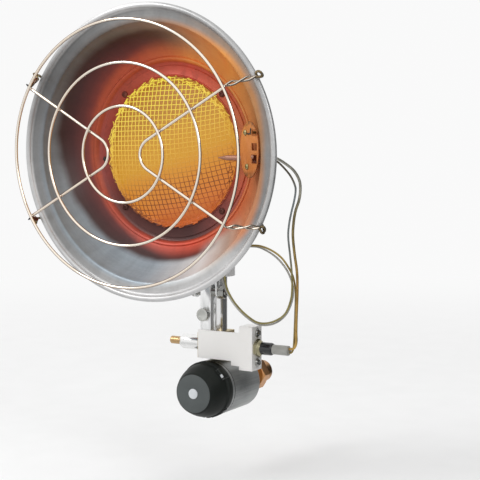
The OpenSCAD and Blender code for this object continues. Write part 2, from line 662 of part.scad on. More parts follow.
post_foot_z = block_z + 16;
module channel_post() color("lightgray") difference() {
  union() {
    translate([-post_w / 2, post_y, post_foot_z]) cube([post_w, post_t, pivot_z + ear_r - post_foot_z]);
    for (s = [-1, 1]) translate([s > 0 ? post_w / 2 - post_t : -post_w / 2, 0, 0])
      rotate([90, 0, 90]) linear_extrude(post_t) {
        translate([post_y, block_top + 3.3]) square([post_d, pivot_z + ear_r - block_top - 3.3]);
        intersection() {
          translate([pivot_y, pivot_z]) circle(r = ear_r, $fn = fine);
          translate([post_y, pivot_z - ear_r]) square([2 * ear_r, 2 * ear_r]);
        }
      }
  }
  translate([-post_w, pivot_y, pivot_z]) along_x() cylinder(r = pivot_r + run, h = 2 * post_w, $fn = small);
  translate([0, post_y - 1, thumb_z]) along_y() cylinder(r = thumb_r + run, h = 5, $fn = small);
}

post_foot_t = 2;
post_leg_w = post_w - 2 * post_t - 0.2;
module post_bracket() color("gray") difference() {
  union() {
    translate([-post_leg_w / 2, post_y + post_t, block_top])
      cube([post_leg_w, post_foot_t, thumb_z - block_top + 7]);
    translate([-post_leg_w / 2, post_y + post_t, block_top]) cube([post_leg_w, 11, post_foot_t]);
  }
  translate([0, post_y, thumb_z]) along_y() cylinder(r = thumb_r + run, h = 9, $fn = small);
}

module mixer_tube() color("silver") translate([0, tube_y, block_top]) difference() {
  cylinder(r = tube_r, h = tube_top - block_top, $fn = fine);
  translate([0, 0, -1]) cylinder(r = tube_r - tube_wall, h = tube_top - block_top + 2, $fn = fine);
  for (a = [60, 120]) rotate(a) translate([0, 0, 12]) {
    for (z = [0, 8]) translate([0, 0, z]) along_x() cylinder(r = 2.6, h = 20, $fn = small);
    translate([0, -2.6, 0]) cube([20, 5.2, 8]);
  }
}

module front_bracket() color("whitesmoke") difference() {
  tab_x = plate_right - plate_tab_w;
  low = plate_bottom - plate_step;
  tab_z = low - plate_tab_down;
  tab_h = plate_top + plate_tab_up - tab_z;
  union() {
    translate([-8, plate_y, plate_bottom]) cube([8 + plate_right, plate_t, plate_top - plate_bottom]);
    translate([plate_step_x, plate_y, low]) cube([plate_right - plate_step_x, plate_t, plate_step + 1]);
    translate([tab_x, plate_y, tab_z]) cube([plate_tab_w, plate_t, tab_h]);
    translate([block_right, plate_y, tab_z]) cube([plate_t, plate_flange_d, tab_h]);
    translate([tab_x, plate_y, tab_z + tab_h - plate_t]) cube([plate_tab_w, plate_flange_d, plate_t]);
  }
  at_valve(block_right - 1) cylinder(r = magnet_stub_r + run, h = plate_t + 2, $fn = small);
  for (s = [-1, 1]) translate([0, 0, s * side_screw_gap / 2])
    at_valve(block_right - 1) cylinder(r = 1.8 + run, h = plate_t + 2, $fn = small);
}

module side_screws() color("dimgray") for (s = [-1, 1]) translate([0, 0, s * side_screw_gap / 2])
  at_valve(plate_right) {
    screw_head(4.3, 3);
    mirror([0, 0, 1]) cylinder(r = 1.8, h = plate_t + 5, $fn = small);
  }

spigot_h = 7;
lug_w = 6.5;
seat_x = 8;
seat_l = 6;
seat_r = 2.5;
gas_z = valve_z + 5;
module valve_block() color("peru") difference() {
  union() {
    translate([-block_left, block_y, block_z]) cube([block_l, block_d, block_h]);
    translate([-12, block_y + block_d - 0.01, block_z]) cube([24, tube_y + 12 - block_y - block_d, block_h]);
    translate([block_right - lug_w, valve_y, valve_z]) along_x() {
      translate([-side_screw_gap / 2 - 3.4, -block_d / 2, 0]) cube([side_screw_gap + 6.8, block_d, lug_w]);
    }
    translate([0, tube_y, block_top - 0.01]) cylinder(r = tube_r - tube_wall, h = spigot_h, $fn = fine);
  }
  at_valve(-block_left - 1) cylinder(r = valve_bore_r, h = block_left + 1 + seat_x, $fn = small);
  at_valve(seat_x - 1) cylinder(r = seat_r, h = seat_l + 2, $fn = small);
  at_valve(seat_x + seat_l) cylinder(r = valve_bore_r, h = block_right, $fn = small);
  translate([0, tube_y, gas_z]) cylinder(r = 2, h = 30, $fn = small);
  translate([0, tube_y, block_z - 1]) cylinder(r = 3, h = 11, $fn = small);
  translate([0, valve_y, block_z + 9]) along_y() cylinder(r = 2, h = valve_offset, $fn = small);
  translate([18, valve_y, gas_z]) rotate([-90, 0, atan2(18, valve_offset)])
    cylinder(r = 1.6, h = norm([18, valve_offset]), $fn = small);
  translate([0, tube_y, block_top + spigot_h - jet_seat]) cylinder(r = jet_r, h = jet_seat + 1, $fn = small);
  for (s = [-1, 1]) translate([0, 0, s * side_screw_gap / 2])
    at_valve(block_right - 5) cylinder(r = 1.8, h = 10, $fn = small);
}

jet_r = 4;
jet_seat = 4;
module gas_jet() color("gold") translate([0, tube_y, block_top + spigot_h - jet_seat]) difference() {
  union() {
    cylinder(r = jet_r, h = jet_seat, $fn = small);
    translate([0, 0, jet_seat]) hex_prism(9, 4);
    translate([0, 0, jet_seat + 4]) cylinder(r1 = 3.2, r2 = 1.6, h = 5, $fn = small);
  }
  translate([0, 0, -1]) cylinder(r = 1.6, h = jet_seat + 7, $fn = small);
  translate([0, 0, -1]) cylinder(r = 0.4, h = 30, $fn = small);
}

stem_r = 1.6;
sleeve_floor = 2;
module button_sleeve() color("lightgray") at_valve(sleeve_x) difference() {
  union() {
    cylinder(r1 = sleeve_r - 2.3, r2 = sleeve_r, h = 3, $fn = fine);
    translate([0, 0, 3]) cylinder(r = sleeve_r, h = sleeve_l - 3, $fn = fine);
  }
  translate([0, 0, -1]) cylinder(r = button_r + run, h = sleeve_l + 1 - sleeve_floor, $fn = small);
  cylinder(r = stem_r + run, h = sleeve_l + 1, $fn = small);
}

button_x = sleeve_x - button_out;
button_l = button_out + 5;
seal_x = seat_x - button_travel - 1;
module push_button() color("darkgoldenrod") {
  at_valve(button_x) difference() {
    union() {
      cylinder(r1 = button_r - 0.6, r2 = button_r, h = 0.8, $fn = small);
      translate([0, 0, 0.8]) cylinder(r = button_r, h = button_l - 0.8, $fn = small);
    }
    translate([0, 0, 10]) rotate_extrude($fn = small) translate([button_r, 0]) circle(r = 0.35, $fn = 8);
  }
  at_valve(button_x + button_l)
    cylinder(r = stem_r, h = magnet_x - slack - button_travel - button_x - button_l, $fn = small);
}
module valve_seal() color("dimgray") at_valve(seal_x - 3) ring(4.6, stem_r, 3);

spring_wire = 0.5;
button_spring_r = (button_r + stem_r) / 2;
button_room = sleeve_x + sleeve_l - sleeve_floor - button_x - button_l;
button_turns = 7;
module button_spring() color("silver") at_valve(button_x + button_l + spring_wire + 0.1)
  swept(coil(button_spring_r, button_room - 2 * spring_wire - 0.2, button_turns, 24),
    spring_wire, [0, 0, 1], 6);

magnet_x = 30;
magnet_stub_r = 4;
magnet_stub_l = magnet_nut_l;
module magnet_unit() color("silver") {
  at_valve(magnet_x) cylinder(r = valve_bore_r - run, h = block_right - magnet_x, $fn = small);
  at_valve(block_right) cylinder(r = magnet_stub_r, h = plate_t + magnet_stub_l, $fn = small);
}
module magnet_nut() color("darkkhaki") at_valve(plate_right) difference() {
  union() {
    hex_prism(2 * magnet_nut_r * 0.9, magnet_nut_l * 0.55);
    translate([0, 0, magnet_nut_l * 0.55])
      cylinder(r1 = magnet_nut_r * 0.9, r2 = magnet_nut_r * 0.72, h = magnet_nut_l * 0.45, $fn = fine);
  }
  translate([0, 0, -1]) cylinder(r = magnet_stub_r, h = magnet_nut_l + 2, $fn = small);
}
module insulator() color("black") at_valve(insulator_x) {
  cylinder(r = insulator_r, h = insulator_l - 1.6, $fn = fine);
  translate([0, 0, insulator_l - 1.6])
    cylinder(r1 = insulator_r, r2 = lead_sleeve_r + 0.4, h = 1.6, $fn = fine);
}
module lead_sleeve() color("gray") at_valve(lead_sleeve_x)
  cylinder(r = lead_sleeve_r, h = lead_sleeve_l, $fn = fine);

// ---- Base: regulator ----

reg_round = 1.2;
lip_l = 8;
module regulator_body() color("silver") difference() {
  union() {
    translate([0, body_y, 0]) along_y() cylinder(r = reg_r, h = reg_back - body_y - reg_round, $fn = fine);
    translate([0, reg_back - reg_round, 0]) along_y()
      cylinder(r1 = reg_r, r2 = reg_r - reg_round, h = reg_round, $fn = fine);
    intersection() {
      translate([0, tube_y, 0]) cylinder(r = neck_r, h = block_z, $fn = fine);
      translate([-neck_r, body_y, 0]) cube([2 * neck_r, 2 * neck_r + 9, block_z]);
    }
  }
  translate([0, body_y - 1, 0]) along_y() cylinder(r = reg_r - reg_lip, h = lip_l + 2, $fn = fine);
  translate([0, body_y + lip_l, 0]) along_y()
    cylinder(r = reg_r - reg_wall, h = reg_back - body_y - lip_l - nipple_seat, $fn = fine);
  translate([0, reg_back - 2 * nipple_seat, 0]) along_y() cylinder(r = nipple_r, h = 30, $fn = small);
  translate([0, tube_y, reg_r - reg_wall - 4]) cylinder(r = 3, h = 30, $fn = small);
  bonnet_holes(body_y - 1, bonnet_bite + 1);
}

nipple_seat = 11;
bonnet_screw_r = 1.5;
bonnet_screw_pcd = reg_r - reg_lip + bonnet_screw_r + 0.7;
bonnet_bite = 6;
module bonnet_holes(y, l) for (k = [0 : 5]) translate([0, y, 0]) along_y() rotate(30 + 60 * k)
  translate([bonnet_screw_pcd, 0, 0]) cylinder(r = bonnet_screw_r, h = l, $fn = small);
module bonnet_screws() color("dimgray") for (k = [0 : 5]) translate([0, reg_front, 0])
  along_y() rotate(30 + 60 * k) translate([bonnet_screw_pcd, 0, 0]) {
    mirror([0, 0, 1]) screw_head(2.2, 1.5);
    cylinder(r = bonnet_screw_r, h = reg_flange_t + diaphragm_t + bonnet_bite, $fn = small);
  }

module regulator_bonnet() color("silver") difference() {
  union() {
    translate([0, reg_front, 0]) along_y() cylinder(r = reg_r, h = reg_flange_t, $fn = fine);
    translate([0, house_y, 0]) along_y() cylinder(r = spring_house_r, h = spring_house_l, $fn = fine);
  }
  translate([0, house_y + reg_wall, 0]) along_y()
    cylinder(r = spring_house_r - reg_wall, h = spring_house_l + reg_flange_t, $fn = fine);
  translate([0, house_y - 1, 0]) along_y() cylinder(r = adjust_r + run, h = 10, $fn = small);
  bonnet_holes(reg_front - 1, reg_flange_t + 2);
}

module diaphragm() color("black") difference() {
  translate([0, diaphragm_y, 0]) along_y() cylinder(r = reg_r, h = diaphragm_t, $fn = fine);
  bonnet_holes(diaphragm_y - 1, diaphragm_t + 2);
}
diaphragm_plate_t = 1.5;
module diaphragm_plate() color("silver") translate([0, diaphragm_y - diaphragm_plate_t, 0]) along_y()
  cylinder(r = spring_house_r - reg_wall - slack, h = diaphragm_plate_t, $fn = fine);

button_t = 3;
button_y = house_y + reg_wall + slack + adjust_travel;
module spring_button() color("gold") translate([0, button_y, 0]) along_y()
  ring(spring_house_r - reg_wall - run, adjust_r + run, button_t);

main_wire = 1;
main_spring_r = spring_house_r - reg_wall - main_wire - 1;
spring_room = diaphragm_y - diaphragm_plate_t - button_y - button_t;
module regulator_spring() color("silver") translate([0, button_y + button_t + main_wire, 0]) along_y()
  swept(coil(main_spring_r, spring_room - 2 * main_wire, 4), main_wire, [0, 0, 1], 6);

nipple_af = 19;
nipple_hex_l = 9;
module inlet_nipple() color("darkgoldenrod") {
  nose_y = inlet_l / 2 + slack;
  front = reg_back - nipple_seat;
  difference() {
    union() {
      translate([0, front, 0]) along_y() cylinder(r = nipple_r, h = nose_y - front, $fn = fine);
      translate([0, reg_back, 0]) along_y() hex_prism(nipple_af, nipple_hex_l);
      translate([0, nose_y, 0]) along_y() rotate_extrude($fn = fine) polygon(concat(
        [[0, 0], [nose_r, 0], [nose_r, 2]],
        [for (k = [1 : 8]) let (a = 90 * k / 8)
          [nose_r - (nose_r - 3.6) * (1 - cos(a)), 2 + (nose_l - 2) * sin(a)]],
        [[0, nose_l]]));
    }
    translate([0, front - 1, 0]) along_y() cylinder(r = 2.2, h = nose_y + nose_l + 2 - front, $fn = small);
    translate([0, nose_y + 1.2, 0]) along_y() ring(nose_r + 1, nose_r - seal_d, seal_w);
  }
}
seal_w = 1.6;
seal_d = 1;
module nose_seal() color("black") translate([0, inlet_l / 2 + slack + 1.2, 0]) along_y()
  ring(nose_r - 0.1, nose_r - seal_d, seal_w);

module hand_nut() color("goldenrod") difference() {
  union() {
    translate([0, nut_y, 0]) along_y() intersection() {
      hex_prism(nut_af, nut_hex_l);
      rotate_extrude($fn = fine) polygon([[0, 0], [nut_af / 2 - 0.4, 0], [nut_af / sqrt(3) + 0.1, 2.2],
        [nut_af / sqrt(3) + 0.1, nut_hex_l - 1], [nut_af / sqrt(3) - 1, nut_hex_l], [0, nut_hex_l]]);
    }
    translate([0, nut_y + nut_hex_l - 0.01, 0]) along_y()
      cylinder(r = inlet_r, h = inlet_l + 0.01, $fn = fine);
  }
  translate([0, nut_y - 1, 0]) along_y()
    cylinder(r = nipple_r + run, h = nut_hex_l + inlet_l + 2, $fn = fine);
}

// ---- Control knob and thumb screw ----

knob_hub_r = 7;
knob_skirt = 7.7;
knob_step = 1.6;
knob_flare = [for (k = [1 : 8]) let (t = k / 8)
  [knob_face_r + (knob_back_r - knob_step - knob_face_r) * sin(90 * t),
   1.2 + (knob_l - knob_skirt - 1.2) * t]];
module knob_outside() rotate_extrude($fn = fine) polygon(concat(
  [[0, 0], [knob_face_r - 1.2, 0], [knob_face_r, 1.2]], knob_flare,
  [[knob_back_r, knob_l - knob_skirt + 1.4], [knob_back_r, knob_l], [0, knob_l]]));
module control_knob() color("#1c1e1d") translate([0, knob_y, 0]) along_y() difference() {
  knob_outside();
  difference() {
    translate([0, 0, knob_wall]) rotate_extrude($fn = fine) polygon(concat(
      [[0, 0.6], [knob_face_r - knob_wall, 0.6]], [for (p = knob_flare) p - [knob_wall, 0]],
      [[knob_back_r - knob_wall, knob_l - knob_skirt + 2], [knob_back_r - knob_wall, knob_l], [0, knob_l]]));
    cylinder(r = knob_hub_r, h = house_y - knob_y - 1.5, $fn = fine);
  }
  translate([0, 0, -1]) cylinder(r = knob_face_r - 1.4, h = 1.6, $fn = fine);
  translate([0, 0, 3]) cylinder(r = adjust_r, h = 40, $fn = small);
  for (k = [0 : knob_notches - 1]) rotate(90 + (k - (knob_notches - 1) / 2) * 13)
    translate([knob_back_r - 1.2, -1.1, knob_l - 8]) cube([4, 2.2, 9]);
}
module knob_face_disc() color("#565a5a") translate([0, knob_y, 0]) along_y() difference() {
  translate([0, 0, -0.2]) cylinder(r = knob_face_r - 1.4, h = 0.8, $fn = fine);
  translate([0, 0, -1]) cylinder(r = knob_cap_r, h = 4, $fn = fine);
}
module knob_centre_cap() color("lightgray") translate([0, knob_y, 0]) along_y()
  translate([0, 0, -0.9]) cylinder(r = knob_cap_r, h = 1.5, $fn = fine);
pointer_w = 12;
pointer_l = 10;
pointer_end = 2.4;
module knob_pointer() color("#1c1e1d") translate([0, knob_y, 0]) along_y() rotate(-pointer_angle)
  intersection() {
    translate([knob_back_r - 4, -pointer_w / 2, knob_l - pointer_end - pointer_l])
      cube([7, pointer_w, pointer_l]);
    difference() {
      cylinder(r = knob_back_r + 1.4, h = knob_l, $fn = fine);
      knob_outside();
    }
  }
module adjusting_screw() color("gold") translate([0, knob_y + 3, 0]) along_y()
  cylinder(r = adjust_r, h = button_y + button_t + 2 - knob_y - 3, $fn = small);

thumb_l = 9;
module thumb_screw() color("lightgray") translate([0, post_y - 2 - thumb_head_l, thumb_z]) along_y() {
  difference() {
    cylinder(r = thumb_head_r, h = thumb_head_l, $fn = fine);
    translate([0, 0, -1]) cylinder(r = thumb_head_r * 0.62, h = 1.5, $fn = small);
    for (k = [0 : 19]) rotate(18 * k) translate([thumb_head_r + 0.15, 0, -1])
      cylinder(r = 0.5, h = 9, $fn = 6);
  }
  translate([0, 0, thumb_head_l]) cylinder(r = thumb_r + 1.4, h = 2 - run, $fn = small);
  translate([0, 0, thumb_head_l]) cylinder(r = thumb_r, h = thumb_l, $fn = small);
}

reflector_dish();
burner_clamp_ring();
clamp_screws();
outer_screen();
inner_screen();
burner_plenum();
distributor_plate();
feed_elbow();
guard_outer_ring();
guard_middle_ring();
guard_inner_ring();
guard_hairpin_left();
guard_hairpin_right();
guard_posts();
probe_cover();
probe_cover_screws();
thermocouple_probe();
thermocouple_nut();
head_bracket();
head_bracket_screws();
pivot_bolt();
pivot_nut();
pivot_spacers();
tip_switch();
sensor_lead();
switch_lead();
thermocouple_lead();
return_lead();
channel_post();
post_bracket();
mixer_tube();
front_bracket();
side_screws();
valve_block();
gas_jet();
button_sleeve();
magnet_unit();
magnet_nut();
insulator();
lead_sleeve();
regulator_body();
regulator_bonnet();
bonnet_screws();
diaphragm();
diaphragm_plate();
inlet_nipple();
nose_seal();
spring_button();
regulator_spring();
control_knob();
knob_face_disc();
knob_centre_cap();
knob_pointer();
adjusting_screw();
hand_nut();
thumb_screw();
push_button();
valve_seal();
button_spring();
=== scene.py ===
# %% [markdown]
# # A tank-top infrared heater, dressed for its portrait
# The solids of the heater arrive as a fixed frame: every part already sits where it belongs. This
# lesson gives each part its finish, and rebuilds in finer mesh the parts that the eye goes to: the
# spun reflector, the woven burner screen, the wire guard, the leads and every hard edge. All
# lengths are in metres, so a small constant turns the maker's millimetres into them.

# %% Open the frame
import bpy, bmesh, json, math, random
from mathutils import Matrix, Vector


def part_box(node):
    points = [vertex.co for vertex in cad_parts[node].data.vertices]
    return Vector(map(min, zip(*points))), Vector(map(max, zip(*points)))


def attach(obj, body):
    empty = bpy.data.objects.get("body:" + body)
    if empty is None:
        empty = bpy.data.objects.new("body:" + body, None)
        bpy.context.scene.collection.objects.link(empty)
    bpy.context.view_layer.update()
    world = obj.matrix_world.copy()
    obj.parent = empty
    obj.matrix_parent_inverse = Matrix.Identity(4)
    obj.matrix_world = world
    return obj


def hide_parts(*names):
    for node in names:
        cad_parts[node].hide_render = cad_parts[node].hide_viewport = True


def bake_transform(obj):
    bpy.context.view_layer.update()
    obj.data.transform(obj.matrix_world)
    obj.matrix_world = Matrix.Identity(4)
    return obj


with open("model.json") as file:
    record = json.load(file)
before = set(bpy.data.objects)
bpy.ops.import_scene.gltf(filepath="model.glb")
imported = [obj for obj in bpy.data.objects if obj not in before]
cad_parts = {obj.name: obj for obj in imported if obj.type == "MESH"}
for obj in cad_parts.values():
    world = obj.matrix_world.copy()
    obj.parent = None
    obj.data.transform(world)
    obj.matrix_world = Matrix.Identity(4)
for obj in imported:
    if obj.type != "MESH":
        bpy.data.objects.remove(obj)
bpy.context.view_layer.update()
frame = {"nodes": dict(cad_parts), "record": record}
nodes, record = frame["nodes"], frame["record"]
SLOT_OF = {subpart["node"]: subpart["material_slot"] for subpart in record["subparts"]}
BODY_OF = {node: body for body, held in record["behaviour"]["bodies"].items() for node in held}
MM = 0.001

# %% [markdown]
# ## Where things are
# Most new pieces are turned or swept round the reflector's axis, so it helps to name that axis
# once. The rim lies in the plane y = RIM_Y, depth runs back from it, and the burner floor is
# DISH_D behind it. The rim is measured from the frame's own box, so it stays tied to the solid.

# %% Name the main stations
lo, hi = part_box("reflector_dish")
RIM_Y = lo[1] / MM
RIM_R = (hi[0] - lo[0]) / 2 / MM
AXIS_Z = (lo[2] + hi[2]) / 2 / MM
DISH_D = 50.0
DISH_CENTRE = Vector((0, RIM_Y, AXIS_Z)) * MM
INTO_DISH = Vector((0, 1, 0))
print("rim plane %.1f, rim radius %.1f, axis height %.1f" % (RIM_Y, RIM_R, AXIS_Z))


def from_dish(x, up, depth):
    """A point given from the reflector's centre: right, up and back, in millimetres."""
    return Vector((x, RIM_Y + depth, AXIS_Z + up)) * MM


def at(x, y, z):
    """A point of the heater's own frame, in millimetres."""
    return Vector((x, y, z)) * MM


def ray_at(angle):
    """The way out from the reflector's axis at an angle, anticlockwise from the right."""
    return Vector((math.cos(angle), 0, math.sin(angle)))


# %% [markdown]
# ## Camera
# The portrait is taken from a little above the rim's centre and thirty degrees to the right,
# with a long lens, so circles stay clean ellipses and nothing looks stretched.

# %% Place the camera
FRAME_PIXELS, FOCAL_PIXELS, SENSOR = 480.0, 1383.55, 36.0
camera = bpy.data.objects.new("portrait_camera", bpy.data.cameras.new("portrait_camera"))
bpy.context.scene.collection.objects.link(camera)
azimuth, pitch = math.radians(29.97), math.radians(5.479)
backward = Vector((math.sin(azimuth) * math.cos(pitch), -math.cos(azimuth) * math.cos(pitch),
                   math.sin(pitch)))
camera.location = at(698.2, -1252.1, 276.2)
camera.rotation_mode = "QUATERNION"
camera.rotation_quaternion = (-backward).to_track_quat("-Z", "Y")
camera.data.sensor_width = SENSOR
camera.data.lens = SENSOR * FOCAL_PIXELS / FRAME_PIXELS
camera.data.clip_start, camera.data.clip_end = 0.05, 40.0
bpy.context.scene.camera = camera
print("lens %.1f mm, %.2f m from the rim" % (camera.data.lens, (camera.location - DISH_CENTRE).length))

# %% [markdown]
# ## Helpers for node trees
# The studio and all the finishes are node trees, and they are wired from the same few moves.
# Nearly every helper makes a node, feeds it numbers, colours or links, and hands on its output.

# %% Wire a node tree


def tone(*seen):
    """A colour as seen on a screen, three numbers from 0 to 255, as the shader wants it."""
    return tuple((c / 255 / 12.92) if c <= 10.3 else ((c / 255 + 0.055) / 1.055) ** 2.4 for c in seen)


def add_node(tree, kind, **settings):
    node = tree.nodes.new("ShaderNode" + kind)
    for name, value in settings.items():
        setattr(node, name, value)
    return node


def as_colour(shade):
    """Three numbers for a colour; one number is a grey."""
    return (shade, shade, shade) if isinstance(shade, (int, float)) else shade


def feed(tree, socket, source):
    """Give a socket a number, a colour, a grey or a link."""
    if hasattr(source, "node"):
        tree.links.new(source, socket)
    elif socket.type == "RGBA":
        socket.default_value = (*as_colour(source), 1.0)
    else:
        socket.default_value = source


def wired(tree, kind, *sources, **settings):
    """A new node with its first inputs fed in order."""
    node = add_node(tree, kind, **settings)
    for socket, source in zip(node.inputs, sources):
        feed(tree, socket, source)
    return node


# %% Numbers and vectors


def arithmetic(tree, operation, *numbers, clamp=False):
    return wired(tree, "Math", *numbers, operation=operation, use_clamp=clamp).outputs[0]


def plus(tree, a, b):
    return arithmetic(tree, "ADD", a, b)


def minus(tree, a, b):
    return arithmetic(tree, "SUBTRACT", a, b)


def times(tree, a, b):
    return arithmetic(tree, "MULTIPLY", a, b)


def vector_math(tree, operation, *vectors):
    node = wired(tree, "VectorMath", *vectors, operation=operation)
    return node.outputs["Value" if operation in ("DOT_PRODUCT", "LENGTH") else "Vector"]


def coordinate(tree, vector, axis):
    """One of the three numbers of a vector."""
    return wired(tree, "SeparateXYZ", vector).outputs[axis]


# %% Colours, ramps and clouds


def mixed(tree, factor, a, b, blend="MIX"):
    node = add_node(tree, "Mix", data_type="RGBA", blend_type=blend)
    for socket, source in zip((node.inputs["Factor"], node.inputs[6], node.inputs[7]), (factor, a, b)):
        feed(tree, socket, source)
    return node.outputs[2]


def ramp(tree, source, stops):
    """stops are (position, (r, g, b)) or (position, grey)."""
    node = wired(tree, "ValToRGB", source)
    while len(node.color_ramp.elements) < len(stops):
        node.color_ramp.elements.new(0.5)
    for element, (place, shade) in zip(node.color_ramp.elements, stops):
        element.position, element.color = place, (*as_colour(shade), 1.0)
    return node.outputs["Color"]


def spread(tree, source, low, high, smooth=False):
    """Stretch the part of source between low and high over 0 to 1."""
    node = wired(tree, "MapRange", source, low, high, interpolation_type="SMOOTHSTEP" if smooth else "LINEAR")
    return node.outputs["Result"]


def noise(tree, vector, scale, detail=2.0, distortion=0.0):
    node = add_node(tree, "TexNoise")
    for label, source in (("Vector", vector), ("Scale", scale), ("Detail", detail),
                          ("Distortion", distortion)):
        feed(tree, node.inputs[label], source)
    return node.outputs["Fac"]


def place_on_part(tree):
    return add_node(tree, "TexCoord").outputs["Object"]


def lens_sees(tree):
    return add_node(tree, "LightPath").outputs["Is Camera Ray"]


# %% [markdown]
# ## Light
# Bright plating is only as good as what it mirrors. The world is therefore two things in one:
# a plain near-white backdrop for the eye, and, for every reflected ray, a soft room with a
# bright ceiling, bright walls and one dark screen off to the right, as the lens sees it. The
# screen draws the dark line down the right-hand side of every wire and tube. Two soft lamps add
# shape and a gentle shadow.

# %% Build the studio
BACKDROP = (0.95, 0.95, 0.95)
ROOM_BANDS = [(0.0, 0.60), (0.30, 0.66), (0.44, 0.80), (0.52, 1.0), (0.70, 0.95), (1.0, 1.05)]
SCREEN_BEARING, SCREEN_EDGE = math.radians(27), math.cos(math.radians(52))
SCREEN_SOFT, SCREEN_DARK = 0.12, 0.94
world = bpy.data.worlds.new("studio_white")
bpy.context.scene.world = world
world.use_nodes = True
sky = world.node_tree
direction = add_node(sky, "TexCoord").outputs["Generated"]
bands = ramp(sky, spread(sky, coordinate(sky, direction, "Z"), -1.0, 1.0), ROOM_BANDS)
screen_way = (math.cos(SCREEN_BEARING), math.sin(SCREEN_BEARING), 0.0)
toward_screen = vector_math(sky, "DOT_PRODUCT", direction, screen_way)
screened = spread(sky, toward_screen, SCREEN_EDGE - SCREEN_SOFT, SCREEN_EDGE + SCREEN_SOFT, smooth=True)
room = wired(sky, "Background", bands, minus(sky, 1.0, times(sky, screened, SCREEN_DARK)))
backdrop = sky.nodes["Background"]
feed(sky, backdrop.inputs["Color"], BACKDROP)
seen = wired(sky, "MixShader", lens_sees(sky), room.outputs[0], backdrop.outputs[0])
sky.links.new(seen.outputs[0], sky.nodes["World Output"].inputs["Surface"])
bpy.context.scene.view_settings.view_transform = "Standard"


def soft_lamp(name, place, aim, size, watts):
    lamp = bpy.data.objects.new(name, bpy.data.lights.new(name, "AREA"))
    lamp.data.shape, lamp.data.size, lamp.data.energy = "DISK", size, watts
    lamp.location = place
    lamp.rotation_mode = "QUATERNION"
    lamp.rotation_quaternion = (Vector(aim) - Vector(place)).to_track_quat("-Z", "Y")
    bpy.context.scene.collection.objects.link(lamp)


soft_lamp("key_lamp", (-0.9, -1.5, 1.5), (0, -0.15, 0.2), 0.9, 14)
soft_lamp("fill_lamp", (1.6, -0.9, 0.9), (0, -0.15, 0.15), 0.8, 6)

# %% Lay the floor
FLOOR_Z, FLOOR_SPAN = -0.09, 16.0
floor_mesh = bpy.data.meshes.new("studio_floor")
shape = bmesh.new()
bmesh.ops.create_circle(shape, cap_ends=True, segments=96, radius=FLOOR_SPAN)
shape.to_mesh(floor_mesh)
shape.free()
studio_floor = bpy.data.objects.new("studio_floor", floor_mesh)
studio_floor.location = (0, 0, FLOOR_Z)
bpy.context.scene.collection.objects.link(studio_floor)

# %% [markdown]
# ## Shared effects
# Several finishes need the same few ingredients: a little unevenness, fine grain, drawn lines
# (which on the regulator are painted reflection streaks), wear and painted light along edges
# and, for the colours of heat and the painted glow and shade in the dish, a point's place in the
# dish. Each is a small node group with named sockets, and a group only ever hands out masks and
# values.

# %% Make and use groups


def new_group(name, inputs, outputs):
    """inputs are (label, default), where three numbers make a vector; every output is a value."""
    group = bpy.data.node_groups.new(name, "ShaderNodeTree")
    for label, default in inputs:
        kind = "NodeSocketVector" if isinstance(default, tuple) else "NodeSocketFloat"
        group.interface.new_socket(name=label, in_out="INPUT", socket_type=kind).default_value = default
    for label in outputs:
        group.interface.new_socket(name=label, in_out="OUTPUT", socket_type="NodeSocketFloat")
    return group, group.nodes.new("NodeGroupInput").outputs, group.nodes.new("NodeGroupOutput").inputs


def use_group(tree, group, **values):
    node = add_node(tree, "Group", node_tree=group)
    for label, value in values.items():
        feed(tree, node.inputs[label], value)
    return node.outputs


# %% Fine grain


def make_grain():
    group, given, result = new_group("fine_grain", [("Scale", 400.0), ("Contrast", 0.5)], ["Mask", "Cloud"])
    here = place_on_part(group)
    centred = minus(group, noise(group, here, given["Scale"], 4.0), 0.5)
    feed(group, result["Mask"], plus(group, times(group, centred, given["Contrast"]), 0.5))
    feed(group, result["Cloud"], noise(group, here, 22.0, 5.0))
    return group


GRAIN = make_grain()

# %% [markdown]
# Edge wear asks a question of the surface: does a slightly rounded copy of it face another way?
# Where it does there is an edge, and plating or paint rubs thin there first. Noise breaks the
# line up, so no edge is worn evenly. The same edge mask also carries painted light: painted
# shade along the edges of the bracket, the plate and the probe's cover, and a painted highlight
# along the edges of the dial's pointer and the hooks.

# %% Edge wear and painted edge light


def make_edge_wear_and_light():
    group, given, result = new_group("edge_wear_and_light", [("Radius", 0.0008), ("Amount", 1.0)], ["Mask"])
    rounded = wired(group, "Bevel", given["Radius"], samples=4).outputs["Normal"]
    facing = vector_math(group, "DOT_PRODUCT", rounded, add_node(group, "NewGeometry").outputs["Normal"])
    patchy = times(group, noise(group, place_on_part(group), 300.0), 9.0)
    broken = times(group, minus(group, 1.0, facing), patchy)
    feed(group, result["Mask"], arithmetic(group, "MULTIPLY", broken, given["Amount"], clamp=True))
    return group


EDGE_WEAR_AND_LIGHT = make_edge_wear_and_light()

# %% [markdown]
# Rolling, drawing and brushing all leave fine lines that run one way. Noise squeezed hard
# across the lines and stretched along them gives that. The squeeze is an input, so one group
# serves a strap, a tube and a sheet. On the regulator the same lines run strongly along its body
# as painted reflection streaks.

# %% Drawn lines and painted streaks


def make_lines_and_painted_streaks():
    squeeze, scale = ("Squeeze", (40.0, 40.0, 1.0)), ("Scale", 60.0)
    group, given, result = new_group("lines_and_painted_streaks", [squeeze, scale], ["Mask", "Broad"])
    lines = vector_math(group, "MULTIPLY", place_on_part(group), given["Squeeze"])
    feed(group, result["Mask"], noise(group, lines, given["Scale"], 3.0))
    feed(group, result["Broad"], noise(group, lines, times(group, given["Scale"], 0.12), 2.0))
    return group


LINES_AND_PAINTED_STREAKS = make_lines_and_painted_streaks()

# %% [markdown]
# Everything round the burner is coloured by heat and by painted glow and shade, and the colour depends on
# where a point is.
# One group works that out. "Radius" is the distance from the reflector's axis in millimetres.
# "Reach" is the same distance taken from a point a little higher, because heat climbs and the
# stain climbs with it; its edge is a little ragged. "Round" is the way round the bowl, 0 to 1
# and anticlockwise from the right.

# %% Reach, radius and the way round
HEAT_CLIMBS = Vector((-2, 0, 7.7)) * MM


